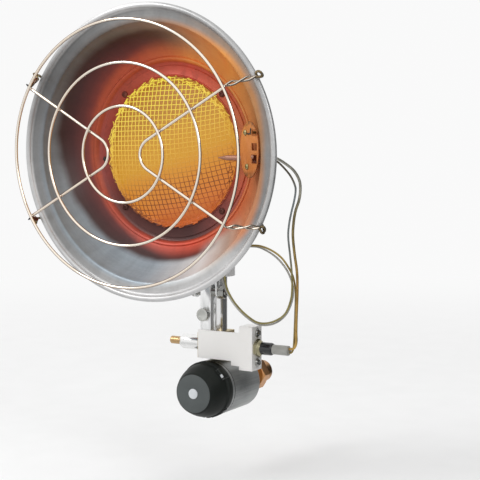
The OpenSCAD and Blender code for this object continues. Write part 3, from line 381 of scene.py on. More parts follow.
def make_dish_place():
    group, given, result = new_group("dish_place", [("Ragged", 3.0)], ["Reach", "Radius", "Round"])
    here = place_on_part(group)

    def distance_from(centre):
        away = vector_math(group, "SUBTRACT", here, centre)
        right, up = coordinate(group, away, "X"), coordinate(group, away, "Z")
        squares = plus(group, times(group, right, right), times(group, up, up))
        return right, up, times(group, arithmetic(group, "SQRT", squares), 1 / MM)

    right, up, radius = distance_from(DISH_CENTRE)
    stain_reach = distance_from(DISH_CENTRE + HEAT_CLIMBS)[2]
    ragged = times(group, minus(group, noise(group, here, 26.0, 3.0), 0.5), given["Ragged"])
    feed(group, result["Reach"], plus(group, stain_reach, ragged))
    feed(group, result["Radius"], radius)
    turns = arithmetic(group, "DIVIDE", arithmetic(group, "ARCTAN2", up, right), 2 * math.pi)
    feed(group, result["Round"], arithmetic(group, "FRACT", plus(group, turns, 1.0)))
    return group


DISH_PLACE = make_dish_place()
print("groups:", [group.name for group in (GRAIN, EDGE_WEAR_AND_LIGHT, LINES_AND_PAINTED_STREAKS, DISH_PLACE)])

# %% [markdown]
# ## A bench for finishes
# Every plain finish starts the same way: one Principled shader, colour that drifts a little
# between two tones, roughness that follows the same clouds, fine grain as bump, and a colour on
# the edges: wear on most finishes, painted shade on the bracket and the plate, and a painted
# highlight on the pointer and the hooks. The plain numbers go straight on the shader's own sockets.

# %% Start a finish
RELIEF_DEPTH = 0.0002
UPRIGHT, ACROSS, ALONG_Y = (45.0, 45.0, 1.0), (1.0, 45.0, 45.0), (45.0, 1.0, 45.0)
FINISH = {}


def new_finish(name, metallic, roughness, **sockets):
    finish = bpy.data.materials.new(name)
    finish.use_nodes = True
    tree, shader = finish.node_tree, finish.node_tree.nodes["Principled BSDF"]
    for label, value in {"Metallic": metallic, "Roughness": roughness, **sockets}.items():
        feed(tree, shader.inputs[label.replace("_", " ")], value)
    return finish, tree, shader


def lay_on(tree, shader, colour, roughness, height, strength):
    """Give a shader its colour, its roughness and its relief."""
    relief = add_node(tree, "Bump")
    for socket, source in ((relief.inputs["Strength"], strength), (relief.inputs["Distance"], RELIEF_DEPTH),
                           (relief.inputs["Height"], height),
                           (shader.inputs["Normal"], relief.outputs["Normal"]),
                           (shader.inputs["Base Color"], colour), (shader.inputs["Roughness"], roughness)):
        feed(tree, socket, source)


def overlaid(tree, strength, colour, detail):
    """Let fine detail lighten and darken a colour."""
    return mixed(tree, strength, colour, detail, "OVERLAY")


def between(tree, clouds, low, high):
    """A colour or a roughness that drifts from low to high with the clouds."""
    return ramp(tree, clouds, [(0.3, low), (0.7, high)])


def screen_ramp(tree, share, stops):
    """A ramp of screen colours; stops are (share, (r, g, b)) or (share, grey)."""
    return ramp(tree, share, [(place, tone(*as_colour(shade))) for place, shade in stops])


# %% Mix a plain finish


def surface_finish(name, tone_a, tone_b, metallic, rough, grain=500.0, bump=0.08,
                   worn=None, edge_radius_wear_and_light=0.0006, wear=0.5, lines=None, **sockets):
    """lines is (squeeze, scale, strength): drawn lines over the colour and the relief; on the regulator they
    are painted reflection streaks.
    """
    finish, tree, shader = new_finish(name, metallic, rough[0], **sockets)
    speck = use_group(tree, GRAIN, Scale=grain, Contrast=1.0)
    colour = overlaid(tree, 0.12, ramp(tree, speck["Cloud"], [(0.35, tone_a), (0.65, tone_b)]), speck["Mask"])
    height = speck["Mask"]
    if lines:
        squeeze, scale, strength = lines
        lines_and_streaks = use_group(tree, LINES_AND_PAINTED_STREAKS, Squeeze=squeeze, Scale=scale)
        colour = overlaid(tree, strength, colour, lines_and_streaks["Mask"])
        colour = overlaid(tree, strength * 0.8, colour, lines_and_streaks["Broad"])
        height = plus(tree, height, lines_and_streaks["Mask"])
    # The edge colour: wear on most finishes, painted shade on the bracket and the plate, a painted highlight
    # on the pointer and the hooks.
    if worn is not None:
        colour = mixed(tree, use_group(tree, EDGE_WEAR_AND_LIGHT, Radius=edge_radius_wear_and_light, Amount=wear)["Mask"],
                       colour, worn)
    lay_on(tree, shader, colour, between(tree, speck["Cloud"], *rough), height, bump)
    return finish


# %% [markdown]
# ## The reflector's heat colours and painted light
# Aluminised sheet stays grey where it is cool. Closer to the burner it yellows, reddens and in
# the end goes dark. The light and shade on the bowl are painted into its colour too: round the
# bowl the wall runs from painted shade, a cool grey, on the left, through a painted bright
# reflection at the foot, to a painted amber glow at the upper right, where the burner's glow
# falls on the side that faces it most; the band and the bead outside it are grey, with painted
# shade and painted highlights round them. The floor is painted red where the glow falls and dark
# at the lower left, where shade falls. The stain is a second layer, laid over the wall by its
# reach from the burner, and absent on the amber side. A third band lies round the ridge: a
# hotter tint, with the glow and a highlight painted over it. In the lists, each stop is (degrees
# round the bowl, screen colour or amount); the way round ends as it began, so the first stop is
# also the last.

# %% List the heat colours and the painted light
# Painted light: the wall's tones round the bowl are painted shade on the left, a painted bright reflection at
# the foot and a painted amber glow at the upper right.
WALL_PAINTED_LIGHT_ROUND = [
    (0, (160, 120, 86)), (30, (190, 132, 80)), (47, (240, 160, 80)), (64, (224, 154, 100)),
    (86, (160, 138, 124)), (110, (122, 116, 112)), (140, (100, 99, 100)), (180, (124, 130, 135)),
    (265, (152, 166, 176)), (295, (230, 231, 230)), (312, (196, 176, 160)), (326, (206, 136, 96)),
    (340, (186, 126, 88))]
# Painted light: the band's and the bead's greys round the bowl are painted shade and painted highlights.
BAND_PAINTED_LIGHT_ROUND = [
    (0, 140), (45, (172, 144, 122)), (75, 150), (100, 148), (130, 108), (152, 100), (180, 128), (225, 140),
    (250, 164), (275, 190), (312, 196), (335, 136)]
BEAD_PAINTED_LIGHT_ROUND = [
    (0, 192), (50, 176), (75, 176), (100, 230), (125, 205), (150, 146), (180, 198), (235, 196), (300, 214),
    (320, 216), (334, 190)]
# Painted light: the floor's red is a painted glow from the burner, and its dark lower left is painted shade.
FLOOR_PAINTED_GLOW_AND_SHADE_ROUND = [
    (0, (196, 118, 56)), (30, (184, 90, 54)), (75, (196, 74, 50)), (130, (178, 74, 50)), (190, (156, 70, 62)),
    (222, (98, 54, 48)), (285, (74, 42, 40)), (318, (142, 72, 64)), (340, (190, 90, 62))]
# The ridge band: a heat tint, with a painted glow and a painted highlight over it.
RIDGE_HEAT_AND_GLOW_ROUND = [
    (0, (194, 122, 78)), (30, (206, 136, 74)), (75, (236, 146, 72)), (92, (218, 112, 62)),
    (112, (200, 88, 56)), (180, (170, 74, 42)), (240, (172, 72, 56)), (285, (206, 80, 56)),
    (308, (196, 96, 64)), (335, (202, 112, 66))]
STAIN_WAY = [(0, 0.0), (70, 0.0), (92, 0.85), (110, 1.0), (290, 1.0), (308, 0.0)]
SHORTER_WAY = [(0, 0.0), (60, 1.0), (104, 1.0), (150, 0.0)]
RIDGE_HEAT_AND_GLOW_WIDTH = [
    (0, 0.8), (30, 1.1), (50, 1.2), (75, 1.0), (95, 0.95), (115, 0.66), (135, 0.42), (180, 0.24), (235, 0.3),
    (256, 0.5), (272, 0.72), (290, 0.8), (306, 0.6), (326, 1.0), (340, 1.1)]
LATE_BAND = [(0, 0.2), (24, 0.9), (38, 0.7), (52, 0.2), (66, 0.0), (312, 0.0), (328, 0.8), (345, 0.6)]

# %% [markdown]
# The stain's own colours follow its reach, in millimetres from the burner. The edges between the
# floor, the wall, the band and the bead are radii, each with a little room to fade.

# %% Colour the dish
STAIN_START, STAIN_END = 84, 112
STAIN_REACH = [
    (84, (180, 78, 48)), (90, (128, 54, 45)), (95, (98, 44, 41)), (101, (74, 38, 38)), (106, (66, 43, 42)),
    (112, (92, 82, 80))]
FLOOR_EDGE, STAIN_FADE, BAND_EDGE, BEAD_EDGE = (82.5, 85.0), (106.0, 112.0), (117.0, 124.0), (127.5, 130.0)
RIDGE_HEAT_AND_GLOW_START, RIDGE_HEAT_AND_GLOW_WIDEST, SHIFT = 87.0, 20.0, 5.0


def round_amount(tree, way, stops):
    return ramp(tree, way, [(turn / 360, amount) for turn, amount in stops] + [(1.0, stops[0][1])])


def round_ramp(tree, way, stops):
    return round_amount(tree, way, [(turn, tone(*as_colour(shade))) for turn, shade in stops])


def fading(tree, source, edge):
    """0 before an edge and 1 past it, with a soft step over the edge's width."""
    return spread(tree, source, *edge, smooth=True)


# %% Lay the colours over each other


def dish_colour(tree):
    """The reflector's colour, real stain with painted glow, shade and highlights, a mask of its cool outer
    part and its place values.
    """
    place = use_group(tree, DISH_PLACE, Ragged=5.0)
    radius, reach, way = (place[label] for label in ("Radius", "Reach", "Round"))
    stain_stops = [((r - STAIN_START) / (STAIN_END - STAIN_START), shade) for r, shade in STAIN_REACH]
    stain = screen_ramp(tree, spread(tree, reach, STAIN_START, STAIN_END), stain_stops)
    edge = plus(tree, reach, times(tree, round_amount(tree, way, SHORTER_WAY), SHIFT))
    stained = times(tree, round_amount(tree, way, STAIN_WAY),
                    minus(tree, 1.0, fading(tree, edge, STAIN_FADE)))
    # The wall's painted light round the bowl, with the real stain laid over it.
    wall = mixed(tree, stained, round_ramp(tree, way, WALL_PAINTED_LIGHT_ROUND), stain)
    # The ridge band: heat tint with a painted glow and a painted highlight.
    width = times(tree, round_amount(tree, way, RIDGE_HEAT_AND_GLOW_WIDTH), RIDGE_HEAT_AND_GLOW_WIDEST)
    from_ridge = arithmetic(tree, "DIVIDE", minus(tree, radius, RIDGE_HEAT_AND_GLOW_START), width)
    ridge_heat_and_glow = minus(tree, 1.0, fading(tree, from_ridge, (0.0, 1.0)))
    wall = mixed(tree, ridge_heat_and_glow, wall, round_ramp(tree, way, RIDGE_HEAT_AND_GLOW_ROUND))
    later = times(tree, round_amount(tree, way, LATE_BAND), -SHIFT)
    cool = fading(tree, plus(tree, radius, later), BAND_EDGE)
    bead = fading(tree, radius, BEAD_EDGE)
    # The band and the bead: painted shade and painted highlights round the bowl.
    band = mixed(tree, bead, round_ramp(tree, way, BAND_PAINTED_LIGHT_ROUND), round_ramp(tree, way, BEAD_PAINTED_LIGHT_ROUND))
    wall = mixed(tree, cool, wall, band)
    # The floor: painted glow and painted shade round the bowl.
    colour = mixed(tree, fading(tree, radius, FLOOR_EDGE), round_ramp(tree, way, FLOOR_PAINTED_GLOW_AND_SHADE_ROUND), wall)
    return colour, cool, place


# %% Reflector steel


def reflector_steel():
    finish, tree, shader = new_finish("aluminised_reflector", 0.35, 0.4)
    colour, cool, place = dish_colour(tree)
    speck = use_group(tree, GRAIN, Scale=350.0, Contrast=1.0)
    spun = wired(tree, "CombineXYZ", place["Radius"], times(tree, place["Round"], 2.0)).outputs[0]
    spun_lines = noise(tree, spun, 1.1, 3.0)
    streaks = wired(tree, "CombineXYZ", times(tree, place["Reach"], 0.02),
                    times(tree, place["Round"], 30.0)).outputs[0]
    smears = noise(tree, streaks, 2.0, 4.0, 0.4)
    for strength, detail in ((0.14, spun_lines), (0.22, smears), (0.10, speck["Mask"])):
        colour = overlaid(tree, strength, colour, detail)
    feed(tree, shader.inputs["Metallic"], spread(tree, cool, -0.5, 2.0))
    lay_on(tree, shader, colour, between(tree, smears, 0.34, 0.48),
           plus(tree, spun_lines, speck["Mask"]), 0.12)
    return finish


def clamp_ring_steel():
    finish, tree, shader = new_finish("clamp_ring_painted_glow_and_shade", 0.2, 0.45)
    # Painted light: the ring takes the floor's colours round the bowl, a painted red glow at the top and
    # painted shade at the lower left; the dark scale marks over them are real.
    colour = round_ramp(tree, use_group(tree, DISH_PLACE, Ragged=4.0)["Round"], FLOOR_PAINTED_GLOW_AND_SHADE_ROUND)
    speck = use_group(tree, GRAIN, Scale=420.0, Contrast=1.0)
    scale_marks = noise(tree, place_on_part(tree), 90.0, 6.0, 0.6)
    colour = mixed(tree, ramp(tree, scale_marks, [(0.5, 0.0), (0.75, 0.35)]), colour, tone(70, 38, 36))
    colour = overlaid(tree, 0.12, colour, speck["Mask"])
    lay_on(tree, shader, colour, between(tree, scale_marks, 0.36, 0.55), scale_marks, 0.15)
    return finish


FINISH["reflector_steel"] = reflector_steel()
FINISH["clamp_ring_steel"] = clamp_ring_steel()
print("heat finishes:", sorted(FINISH))

# %% [markdown]
# ## The glowing screen
# The burner's screen is hottest and yellowest at the top, amber in the middle and orange below,
# where the cooler wires show dark against the glow behind them. So the wires and the layer
# behind them get opposite ramps over the height: light wires on dark gaps above, dark wires on
# light gaps below. Part of the colour is emission, since both really glow. The heat leans to
# the left, so the ramps lean too.

# %% Screen finishes
WIRE_BY_HEIGHT = [
    (0.0, (206, 104, 42)), (0.08, (172, 86, 36)), (0.16, (126, 66, 28)), (0.27, (150, 84, 34)),
    (0.38, (208, 148, 58)), (0.50, (226, 178, 70)), (0.64, (240, 204, 84)), (0.82, (248, 224, 92)),
    (1.0, (250, 232, 84))]
GLOW_BY_HEIGHT = [
    (0.0, (188, 96, 46)), (0.13, (216, 128, 58)), (0.30, (220, 146, 56)), (0.45, (214, 158, 54)),
    (0.6, (204, 150, 56)), (0.78, (182, 128, 52)), (1.0, (174, 114, 46))]
SCREEN_R, HEAT_LEAN, WAVE_HEIGHT = 69.0, -0.34, 0.02


def glowing_wire(name, by_height, own_light, grain):
    finish, tree, shader = new_finish(name, 0.1, 0.5, Emission_Strength=own_light)
    here = place_on_part(tree)
    rise = plus(tree, coordinate(tree, here, "Z"), times(tree, coordinate(tree, here, "X"), HEAT_LEAN))
    wavy = times(tree, minus(tree, noise(tree, here, 30.0, 3.0), 0.5), WAVE_HEIGHT)
    share = spread(tree, plus(tree, rise, wavy), (AXIS_Z - SCREEN_R) * MM, (AXIS_Z + SCREEN_R) * MM)
    speck = use_group(tree, GRAIN, Scale=grain, Contrast=1.0)
    colour = overlaid(tree, 0.25, screen_ramp(tree, share, by_height), speck["Mask"])
    feed(tree, shader.inputs["Emission Color"], colour)
    unlit = mixed(tree, own_light, colour, 0.0)
    lay_on(tree, shader, unlit, between(tree, speck["Cloud"], 0.42, 0.6), speck["Mask"], 0.2)
    return finish


FINISH["burner_mesh"] = glowing_wire("glowing_screen_wire", WIRE_BY_HEIGHT, 0.55, 600.0)
FINISH["inner_mesh"] = glowing_wire("glowing_inner_screen", GLOW_BY_HEIGHT, 0.7, 1600.0)

# %% [markdown]
# ## Plated, brass and plastic finishes
# The rest of the heater is a list of familiar surfaces. Each entry below is one recipe for the
# bench above: the material's name, two close tones, how metallic, how smooth and how rough, and
# whatever else it needs, such as the colour of its edges (wear, and on a few painted shade and
# painted highlights) or the lines it was drawn with (on the regulator, painted reflection streaks).

# %% The other finishes
MOULDED = ((0.010, 0.012, 0.011), (0.020, 0.023, 0.021))
RECIPES = {
    "guard_wire": ("warm_plated_wire", (0.98, 0.86, 0.72), (1.0, 0.92, 0.81), 0.92, (0.06, 0.14),
        {"bump": 0.03, "Specular_Tint": (0.45, 0.26, 0.14)}),
    "dark_fastener": ("blackened_bolt", 0.018, 0.05, 0.8, (0.32, 0.5), {"worn": 0.3}),
    # Painted highlight: the pointer's pale edge colour stands for light catching its edges.
    "pointer_black": ("pointer_moulding", *MOULDED, 0.0, (0.4, 0.55),
        {"worn": (0.45, 0.46, 0.45), "wear": 1.6, "edge_radius_wear_and_light": 0.0007, "Specular_IOR_Level": 0.12}),
    "dull_zinc": ("dull_zinc_bracket", 0.72, 0.86, 0.15, (0.4, 0.55), {"lines": (UPRIGHT, 40.0, 0.2)}),
    # Painted shade: the hooks' dark tones stand for the shade where they wrap round the rim; their pale edges
    # are a painted highlight.
    "painted_shade_hook": ("painted_shade_hook_wire", tone(76, 66, 46), tone(138, 120, 88), 0.8, (0.2, 0.34),
        {"worn": tone(190, 168, 134)}),
    "scorched_screw": ("scorched_screw_steel", tone(60, 34, 30), tone(120, 62, 50), 0.5, (0.35, 0.5),
        {"worn": tone(150, 90, 72)}),
    "bright_bolt": ("bright_bolt_steel", (0.20, 0.20, 0.19), (0.46, 0.46, 0.44), 1.0, (0.14, 0.3),
        {"worn": (0.85, 0.85, 0.82), "wear": 0.9, "edge_radius_wear_and_light": 0.0009}),
    "coppery_nut": ("coppery_hand_nut", tone(150, 112, 70), tone(206, 150, 100), 0.95, (0.2, 0.36),
        {"worn": tone(240, 190, 140)}),
    "plenum_steel": ("burner_pan_steel", (0.30, 0.30, 0.31), (0.42, 0.39, 0.36), 0.9, (0.3, 0.5),
        {"lines": ((1, 1, 1), 90.0, 0.15), "worn": (0.6, 0.58, 0.55)}),
    "feed_steel": ("bright_chrome_tube", (0.90, 0.90, 0.91), 0.96, 0.9, (0.06, 0.15),
        {"bump": 0.02, "lines": (UPRIGHT, 30.0, 0.2)}),
    "cover_screw_brass": ("dull_brass_screw", (0.30, 0.27, 0.12), (0.42, 0.36, 0.18), 0.8, (0.35, 0.5), {}),
    "probe_steel": ("oxidised_probe", tone(150, 104, 84), tone(186, 136, 112), 0.35, (0.35, 0.5),
        {"lines": (ACROSS, 60.0, 0.3)}),
    "fitting_brass": ("machined_brass", (0.62, 0.42, 0.14), (0.74, 0.52, 0.21), 1.0, (0.2, 0.36),
        {"worn": (0.85, 0.7, 0.4)}),
    # Painted shade: the bracket's dark edge colour stands for the shade on its sides.
    "bracket_steel": ("zinc_bracket", (0.92, 0.93, 0.93), 0.97, 0.7, (0.14, 0.28),
        {"lines": (UPRIGHT, 40.0, 0.25), "worn": 0.3, "wear": 0.8}),
    # Painted shade: the plate's darker edge colour stands for the shade along its edges.
    "plate_steel": ("bright_zinc_plate", (0.95, 0.935, 0.91), (0.99, 0.975, 0.95), 0.35, (0.30, 0.42),
        {"lines": (ACROSS, 25.0, 0.12), "worn": 0.4}),
    "switch_plastic": ("black_switch_case", 0.02, 0.035, 0.0, (0.45, 0.6), {"worn": 0.1}),
    "return_wire": ("gold_brown_sheath", tone(134, 116, 64), tone(180, 156, 92), 0.35, (0.25, 0.4), {}),
    "switch_wire": ("pale_grey_sheath", tone(150, 149, 144), tone(196, 195, 190), 0.3, (0.25, 0.4), {}),
    "valve_brass": ("forged_brass", (0.42, 0.33, 0.15), (0.55, 0.43, 0.22), 0.95, (0.28, 0.45),
        {"worn": (0.8, 0.65, 0.35)}),
    "button_brass": ("worn_brass_button", tone(184, 150, 106), tone(214, 184, 138), 0.9, (0.18, 0.32),
        {"lines": (ACROSS, 50.0, 0.25), "worn": (0.9, 0.78, 0.5)}),
    "sleeve_nickel": ("nickel_sleeve", (0.84, 0.84, 0.83), (0.94, 0.94, 0.93), 0.9, (0.12, 0.22),
        {"lines": (ACROSS, 30.0, 0.15)}),
    "magnet_nut_brass": ("dull_plated_nut", tone(140, 134, 108), tone(178, 172, 142), 0.9, (0.25, 0.4),
        {"worn": (0.7, 0.66, 0.5)}),
    "insulator_plastic": ("black_insulator", (0.008, 0.009, 0.010), (0.015, 0.016, 0.018), 0.0, (0.12, 0.22),
        {"Coat_Weight": 0.4}),
    "lead_sleeve_grey": ("grey_lead_sleeve", tone(148, 148, 144), tone(178, 178, 172), 0.0, (0.4, 0.55), {}),
    # Painted reflection: the regulator's strong lines along its body are painted streaks of reflected light.
    "regulator_zinc": ("cast_regulator_painted_streaks", tone(128, 131, 131), tone(166, 168, 168), 0.45, (0.3, 0.45),
        {"grain": 900.0, "bump": 0.12, "lines": (ALONG_Y, 26.0, 0.4), "worn": 0.85}),
    "seal_rubber": ("black_rubber", 0.02, 0.035, 0.0, (0.6, 0.75), {}),
    "spring_steel": ("drawn_spring", (0.5, 0.5, 0.51), (0.62, 0.62, 0.63), 1.0, (0.2, 0.3), {}),
    "knob_black": ("moulded_knob", *MOULDED, 0.0, (0.4, 0.55), {"worn": 0.16, "Specular_IOR_Level": 0.12}),
    "knob_face_grey": ("dial_face_grey", tone(70, 75, 75), tone(80, 85, 85), 0.0, (0.45, 0.55),
        {"grain": 900.0}),
    "knob_cap_grey": ("pale_cap", tone(196, 200, 203), tone(216, 219, 222), 0.0, (0.4, 0.5), {}),
    "thumb_steel": ("knurled_steel", (0.40, 0.41, 0.38), (0.66, 0.66, 0.63), 1.0, (0.16, 0.28),
        {"bump": 0.3, "worn": 0.9}),
}
for slot, (name, tone_a, tone_b, metallic, rough, more) in RECIPES.items():
    FINISH[slot] = surface_finish(name, tone_a, tone_b, metallic, rough, **more)
print("finishes:", len(FINISH))

# %% [markdown]
# Three finishes need a little more. A lead's colour changes with its height. The oval cover is
# painted amber, a painted glow from the burner's light, with painted shade along its cut edges
# and darker patches towards both ends. Bright wire looks lined with a dark edge: its sides are
# painted darker, a painted reflection of the dark of the room.

# %% Leads, cover and wire
LEAD_FOOT, LEAD_TOP, SIDE_EDGE = 0.045, 0.235, (0.25, 0.65)


def drawn_lead(name, metallic, stops):
    """stops are (share of the height, screen colour)."""
    finish, tree, shader = new_finish(name, metallic, 0.3)
    up = spread(tree, coordinate(tree, place_on_part(tree), "Z"), LEAD_FOOT, LEAD_TOP)
    speck = use_group(tree, GRAIN, Scale=160.0, Contrast=1.4)
    colour = overlaid(tree, 0.45, screen_ramp(tree, up, stops), speck["Mask"])
    lay_on(tree, shader, colour, between(tree, speck["Cloud"], 0.22, 0.4), speck["Mask"], 0.1)
    return finish


def cover_steel():
    finish, tree, shader = new_finish("cover_painted_glow_and_shade", 0.15, 0.42)
    here, speck = place_on_part(tree), use_group(tree, GRAIN, Scale=600.0, Contrast=1.0)
    cut_edge_shade = use_group(tree, EDGE_WEAR_AND_LIGHT, Radius=0.0012, Amount=1.4)["Mask"]
    # Painted glow: the cover's amber stands for the burner's light falling on it.
    colour = ramp(tree, speck["Cloud"], [(0.35, tone(196, 116, 58)), (0.65, tone(218, 140, 76))])
    # Painted shade along the cut edges, in a dark brown.
    colour = mixed(tree, times(tree, cut_edge_shade, 0.8), colour, tone(84, 48, 32))
    low, high = (corner[2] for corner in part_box("probe_cover"))
    away = arithmetic(tree, "ABSOLUTE", minus(tree, coordinate(tree, here, "Z"), (low + high) / 2))
    near_end = fading(tree, away, ((high - low) * 0.33, (high - low) * 0.49))
    patches = ramp(tree, noise(tree, here, 260.0, 3.0), [(0.40, 0.15), (0.6, 0.9)])
    # Darker patches towards both ends.
    colour = mixed(tree, times(tree, near_end, patches), colour, tone(92, 66, 44))
    colour = overlaid(tree, 0.15, colour, speck["Mask"])
    lay_on(tree, shader, colour, between(tree, speck["Cloud"], 0.35, 0.5), speck["Mask"], 0.1)
    return finish


# Painted reflection: the sides of bright wire are painted darker at grazing angles, for the dark of the room
# mirrored in them.
def paint_darker_sides(finish, side_colour):
    tree = finish.node_tree
    base = next(node for node in tree.nodes if node.type == "BSDF_PRINCIPLED").inputs["Base Color"]
    sides = fading(tree, wired(tree, "LayerWeight", 0.5).outputs["Facing"], SIDE_EDGE)
    feed(tree, base, mixed(tree, sides, base.links[0].from_socket, side_colour))


FINISH["thermocouple_copper"] = drawn_lead("lacquered_copper_lead", 0.5, [
    (0.0, (190, 154, 84)), (0.35, (184, 146, 80)), (0.55, (160, 140, 86)), (0.7, (136, 124, 88)),
    (0.82, (158, 156, 142)), (1.0, (176, 174, 164))])
FINISH["sensor_wire"] = drawn_lead("sensor_sheath", 0.3, [
    (0.0, (150, 138, 84)), (0.4, (146, 136, 84)), (0.5, (130, 134, 128)), (0.78, (136, 148, 154)),
    (0.88, (112, 106, 94)), (1.0, (104, 94, 80))])
FINISH["cover_steel"] = cover_steel()
paint_darker_sides(FINISH["guard_wire"], tone(96, 64, 38))
paint_darker_sides(FINISH["painted_shade_hook"], tone(34, 30, 24))

# %% Dress the carried parts
OWN_LOOK = {"clamp_screws": "scorched_screw", "pivot_bolt": "bright_bolt", "pivot_nut": "bright_bolt",
            "side_screws": "bright_bolt", "pivot_spacers": "bright_bolt", "hand_nut": "coppery_nut",
            "feed_elbow": "dull_zinc", "knob_pointer": "pointer_black"}


def dress(part, finish):
    part.data.materials.clear()
    part.data.materials.append(finish)


for node, slot in SLOT_OF.items():
    dress(nodes[node], FINISH[OWN_LOOK.get(node, slot)])

# %% [markdown]
# The floor is pale paper near the heater and fades into the backdrop. Far away only the lens
# sees it, so that it lights nothing from below. For other rays it fades four times sooner.

# %% Paper for the floor
FADE_NEAR, FADE_FAR, FADE_SOONER = 0.35, 1.6, 4.0


def studio_paper():
    finish, tree, shader = new_finish("studio_paper", 0.0, 0.7)
    speck, lens_ray = use_group(tree, GRAIN, Scale=60.0, Contrast=0.2), lens_sees(tree)
    feed(tree, shader.inputs["Base Color"], between(tree, speck["Cloud"], 0.86, 0.88))
    far, clear = wired(tree, "Emission", BACKDROP), add_node(tree, "BsdfTransparent")
    unseen = wired(tree, "MixShader", lens_ray, clear.outputs[0], far.outputs[0])
    shrink = minus(tree, FADE_SOONER, times(tree, lens_ray, FADE_SOONER - 1.0))
    away = times(tree, vector_math(tree, "LENGTH", place_on_part(tree)), shrink)
    paper = wired(tree, "MixShader", fading(tree, away, (FADE_NEAR, FADE_FAR)),
                  shader.outputs[0], unseen.outputs[0])
    feed(tree, tree.nodes["Material Output"].inputs["Surface"], paper.outputs[0])
    return finish


studio_floor.data.materials.append(studio_paper())

# %% [markdown]
# ## Tools for making mesh
# Three ways of making a surface cover nearly everything on this heater. A tube follows a wire.
# A turned skin spins a profile round an axis, as a lathe or a spinning tool does. An eased copy
# takes a carried solid and rounds its hard edges, as every real edge is rounded a little.

# %% Skins and tubes


def stretch_skin(loops, closed_along, closed_round=True):
    """Points and faces of a skin stretched over loops of equally many points; open ends are capped."""
    count = len(loops[0])
    points = [point for loop in loops for point in loop]
    faces = []
    for i in range(len(loops) if closed_along else len(loops) - 1):
        j = (i + 1) % len(loops)
        for k in range(count if closed_round else count - 1):
            m = (k + 1) % count
            faces.append((i * count + k, j * count + k, j * count + m, i * count + m))
    if not closed_along:
        faces += [tuple(range(count)), tuple(range((len(loops) - 1) * count, len(loops) * count))]
    return points, faces


def tube(path, radius, sides=10, closed=False):
    """A round skin along a path of points; radius is a number or a function of the share along."""
    path = [Vector(p) for p in path]
    last = len(path) - 1
    girth = radius if callable(radius) else (lambda share: radius)
    heading = [(path[(i + 1) % len(path)] - path[i - 1]) if closed
               else (path[min(i + 1, last)] - path[max(i - 1, 0)]) for i in range(len(path))]
    heading = [h.normalized() for h in heading]
    across = heading[0].orthogonal().normalized()
    turns = [2 * math.pi * k / sides for k in range(sides)]
    loops = []
    for i, (point, ahead) in enumerate(zip(path, heading)):
        across = (across - ahead * across.dot(ahead)).normalized()
        up = ahead.cross(across)
        reach = girth(i / max(last, 1))
        loops.append([point + reach * (math.cos(turn) * across + math.sin(turn) * up) for turn in turns])
    return stretch_skin(loops, closed)


# %% Turned shapes


def turned(profile, origin, axis, segments, closed=True):
    """Spin a profile of (radius, height) points round an axis."""
    across = Vector((1, 0, 0)) if abs(axis.x) < 0.9 else Vector((0, 0, 1))
    across = (across - axis * across.dot(axis)).normalized()
    up = axis.cross(across)
    loops = []
    for k in range(segments):
        angle = 2 * math.pi * k / segments
        ray = math.cos(angle) * across + math.sin(angle) * up
        loops.append([origin + axis * h * MM + ray * r * MM for r, h in profile])
    return stretch_skin(loops, True, closed)


def spun(profile, segments, closed=True):
    """A profile turned round the reflector's own axis; heights are depths behind the rim."""
    return turned(profile, DISH_CENTRE, INTO_DISH, segments, closed)


# %% Smooth paths


def smooth_path(points, steps):
    """Points on one smooth curve through the given points."""
    points = [Vector(p) for p in points]
    last = len(points) - 1
    path = []
    for i in range(last):
        a, b, c, d = points[max(i - 1, 0)], points[i], points[i + 1], points[min(i + 2, last)]
        for k in range(steps):
            t = k / steps
            path.append(0.5 * ((2 * b) + (c - a) * t + (2 * a - 5 * b + 4 * c - d) * t * t
                               + (3 * b - a - 3 * c + d) * t * t * t))
    return path + [points[-1]]


# %% Pieces: from skins to objects
SAME_POINT, NEARLY_FLAT, HARD_EDGE = 1e-6, math.radians(0.5), math.radians(30)


def shade(mesh, sharp):
    mesh.polygons.foreach_set("use_smooth", [True] * len(mesh.polygons))
    mesh.set_sharp_from_angle(angle=math.radians(sharp))


def welded(mesh, dist, repair):
    """Merge a mesh's doubled points and hand it to one more repair."""
    work = bmesh.new()
    work.from_mesh(mesh)
    bmesh.ops.remove_doubles(work, verts=work.verts, dist=dist)
    repair(work)
    work.to_mesh(mesh)
    work.free()


def add_piece(name, mesh, node, slot=None, body=None, bends=False):
    """A piece for a carried part takes that part's slot and body; one that bends rides on no body."""
    piece = bpy.data.objects.new(name, mesh)
    bpy.context.scene.collection.objects.link(piece)
    slot = slot or SLOT_OF[node]
    dress(piece, FINISH[OWN_LOOK.get(node, slot)])
    if not bends:
        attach(piece, body or BODY_OF[node])
    if node:
        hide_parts(node)
    print("%-24s %6d faces" % (name, len(mesh.polygons)))
    return piece


# %% A piece made of skins


def make_piece(name, skins, node=None, sharp=35, **place):
    mesh = bpy.data.meshes.new(name)
    points, faces = [], []
    for skin_points, skin_faces in skins:
        start = len(points)
        points.extend(skin_points)
        faces.extend(tuple(i + start for i in face) for face in skin_faces)
    mesh.from_pydata(points, [], faces)
    welded(mesh, SAME_POINT, lambda work: bmesh.ops.recalc_face_normals(work, faces=work.faces))
    shade(mesh, sharp)
    return add_piece(name, mesh, node, **place)


# %% An eased copy of a carried part


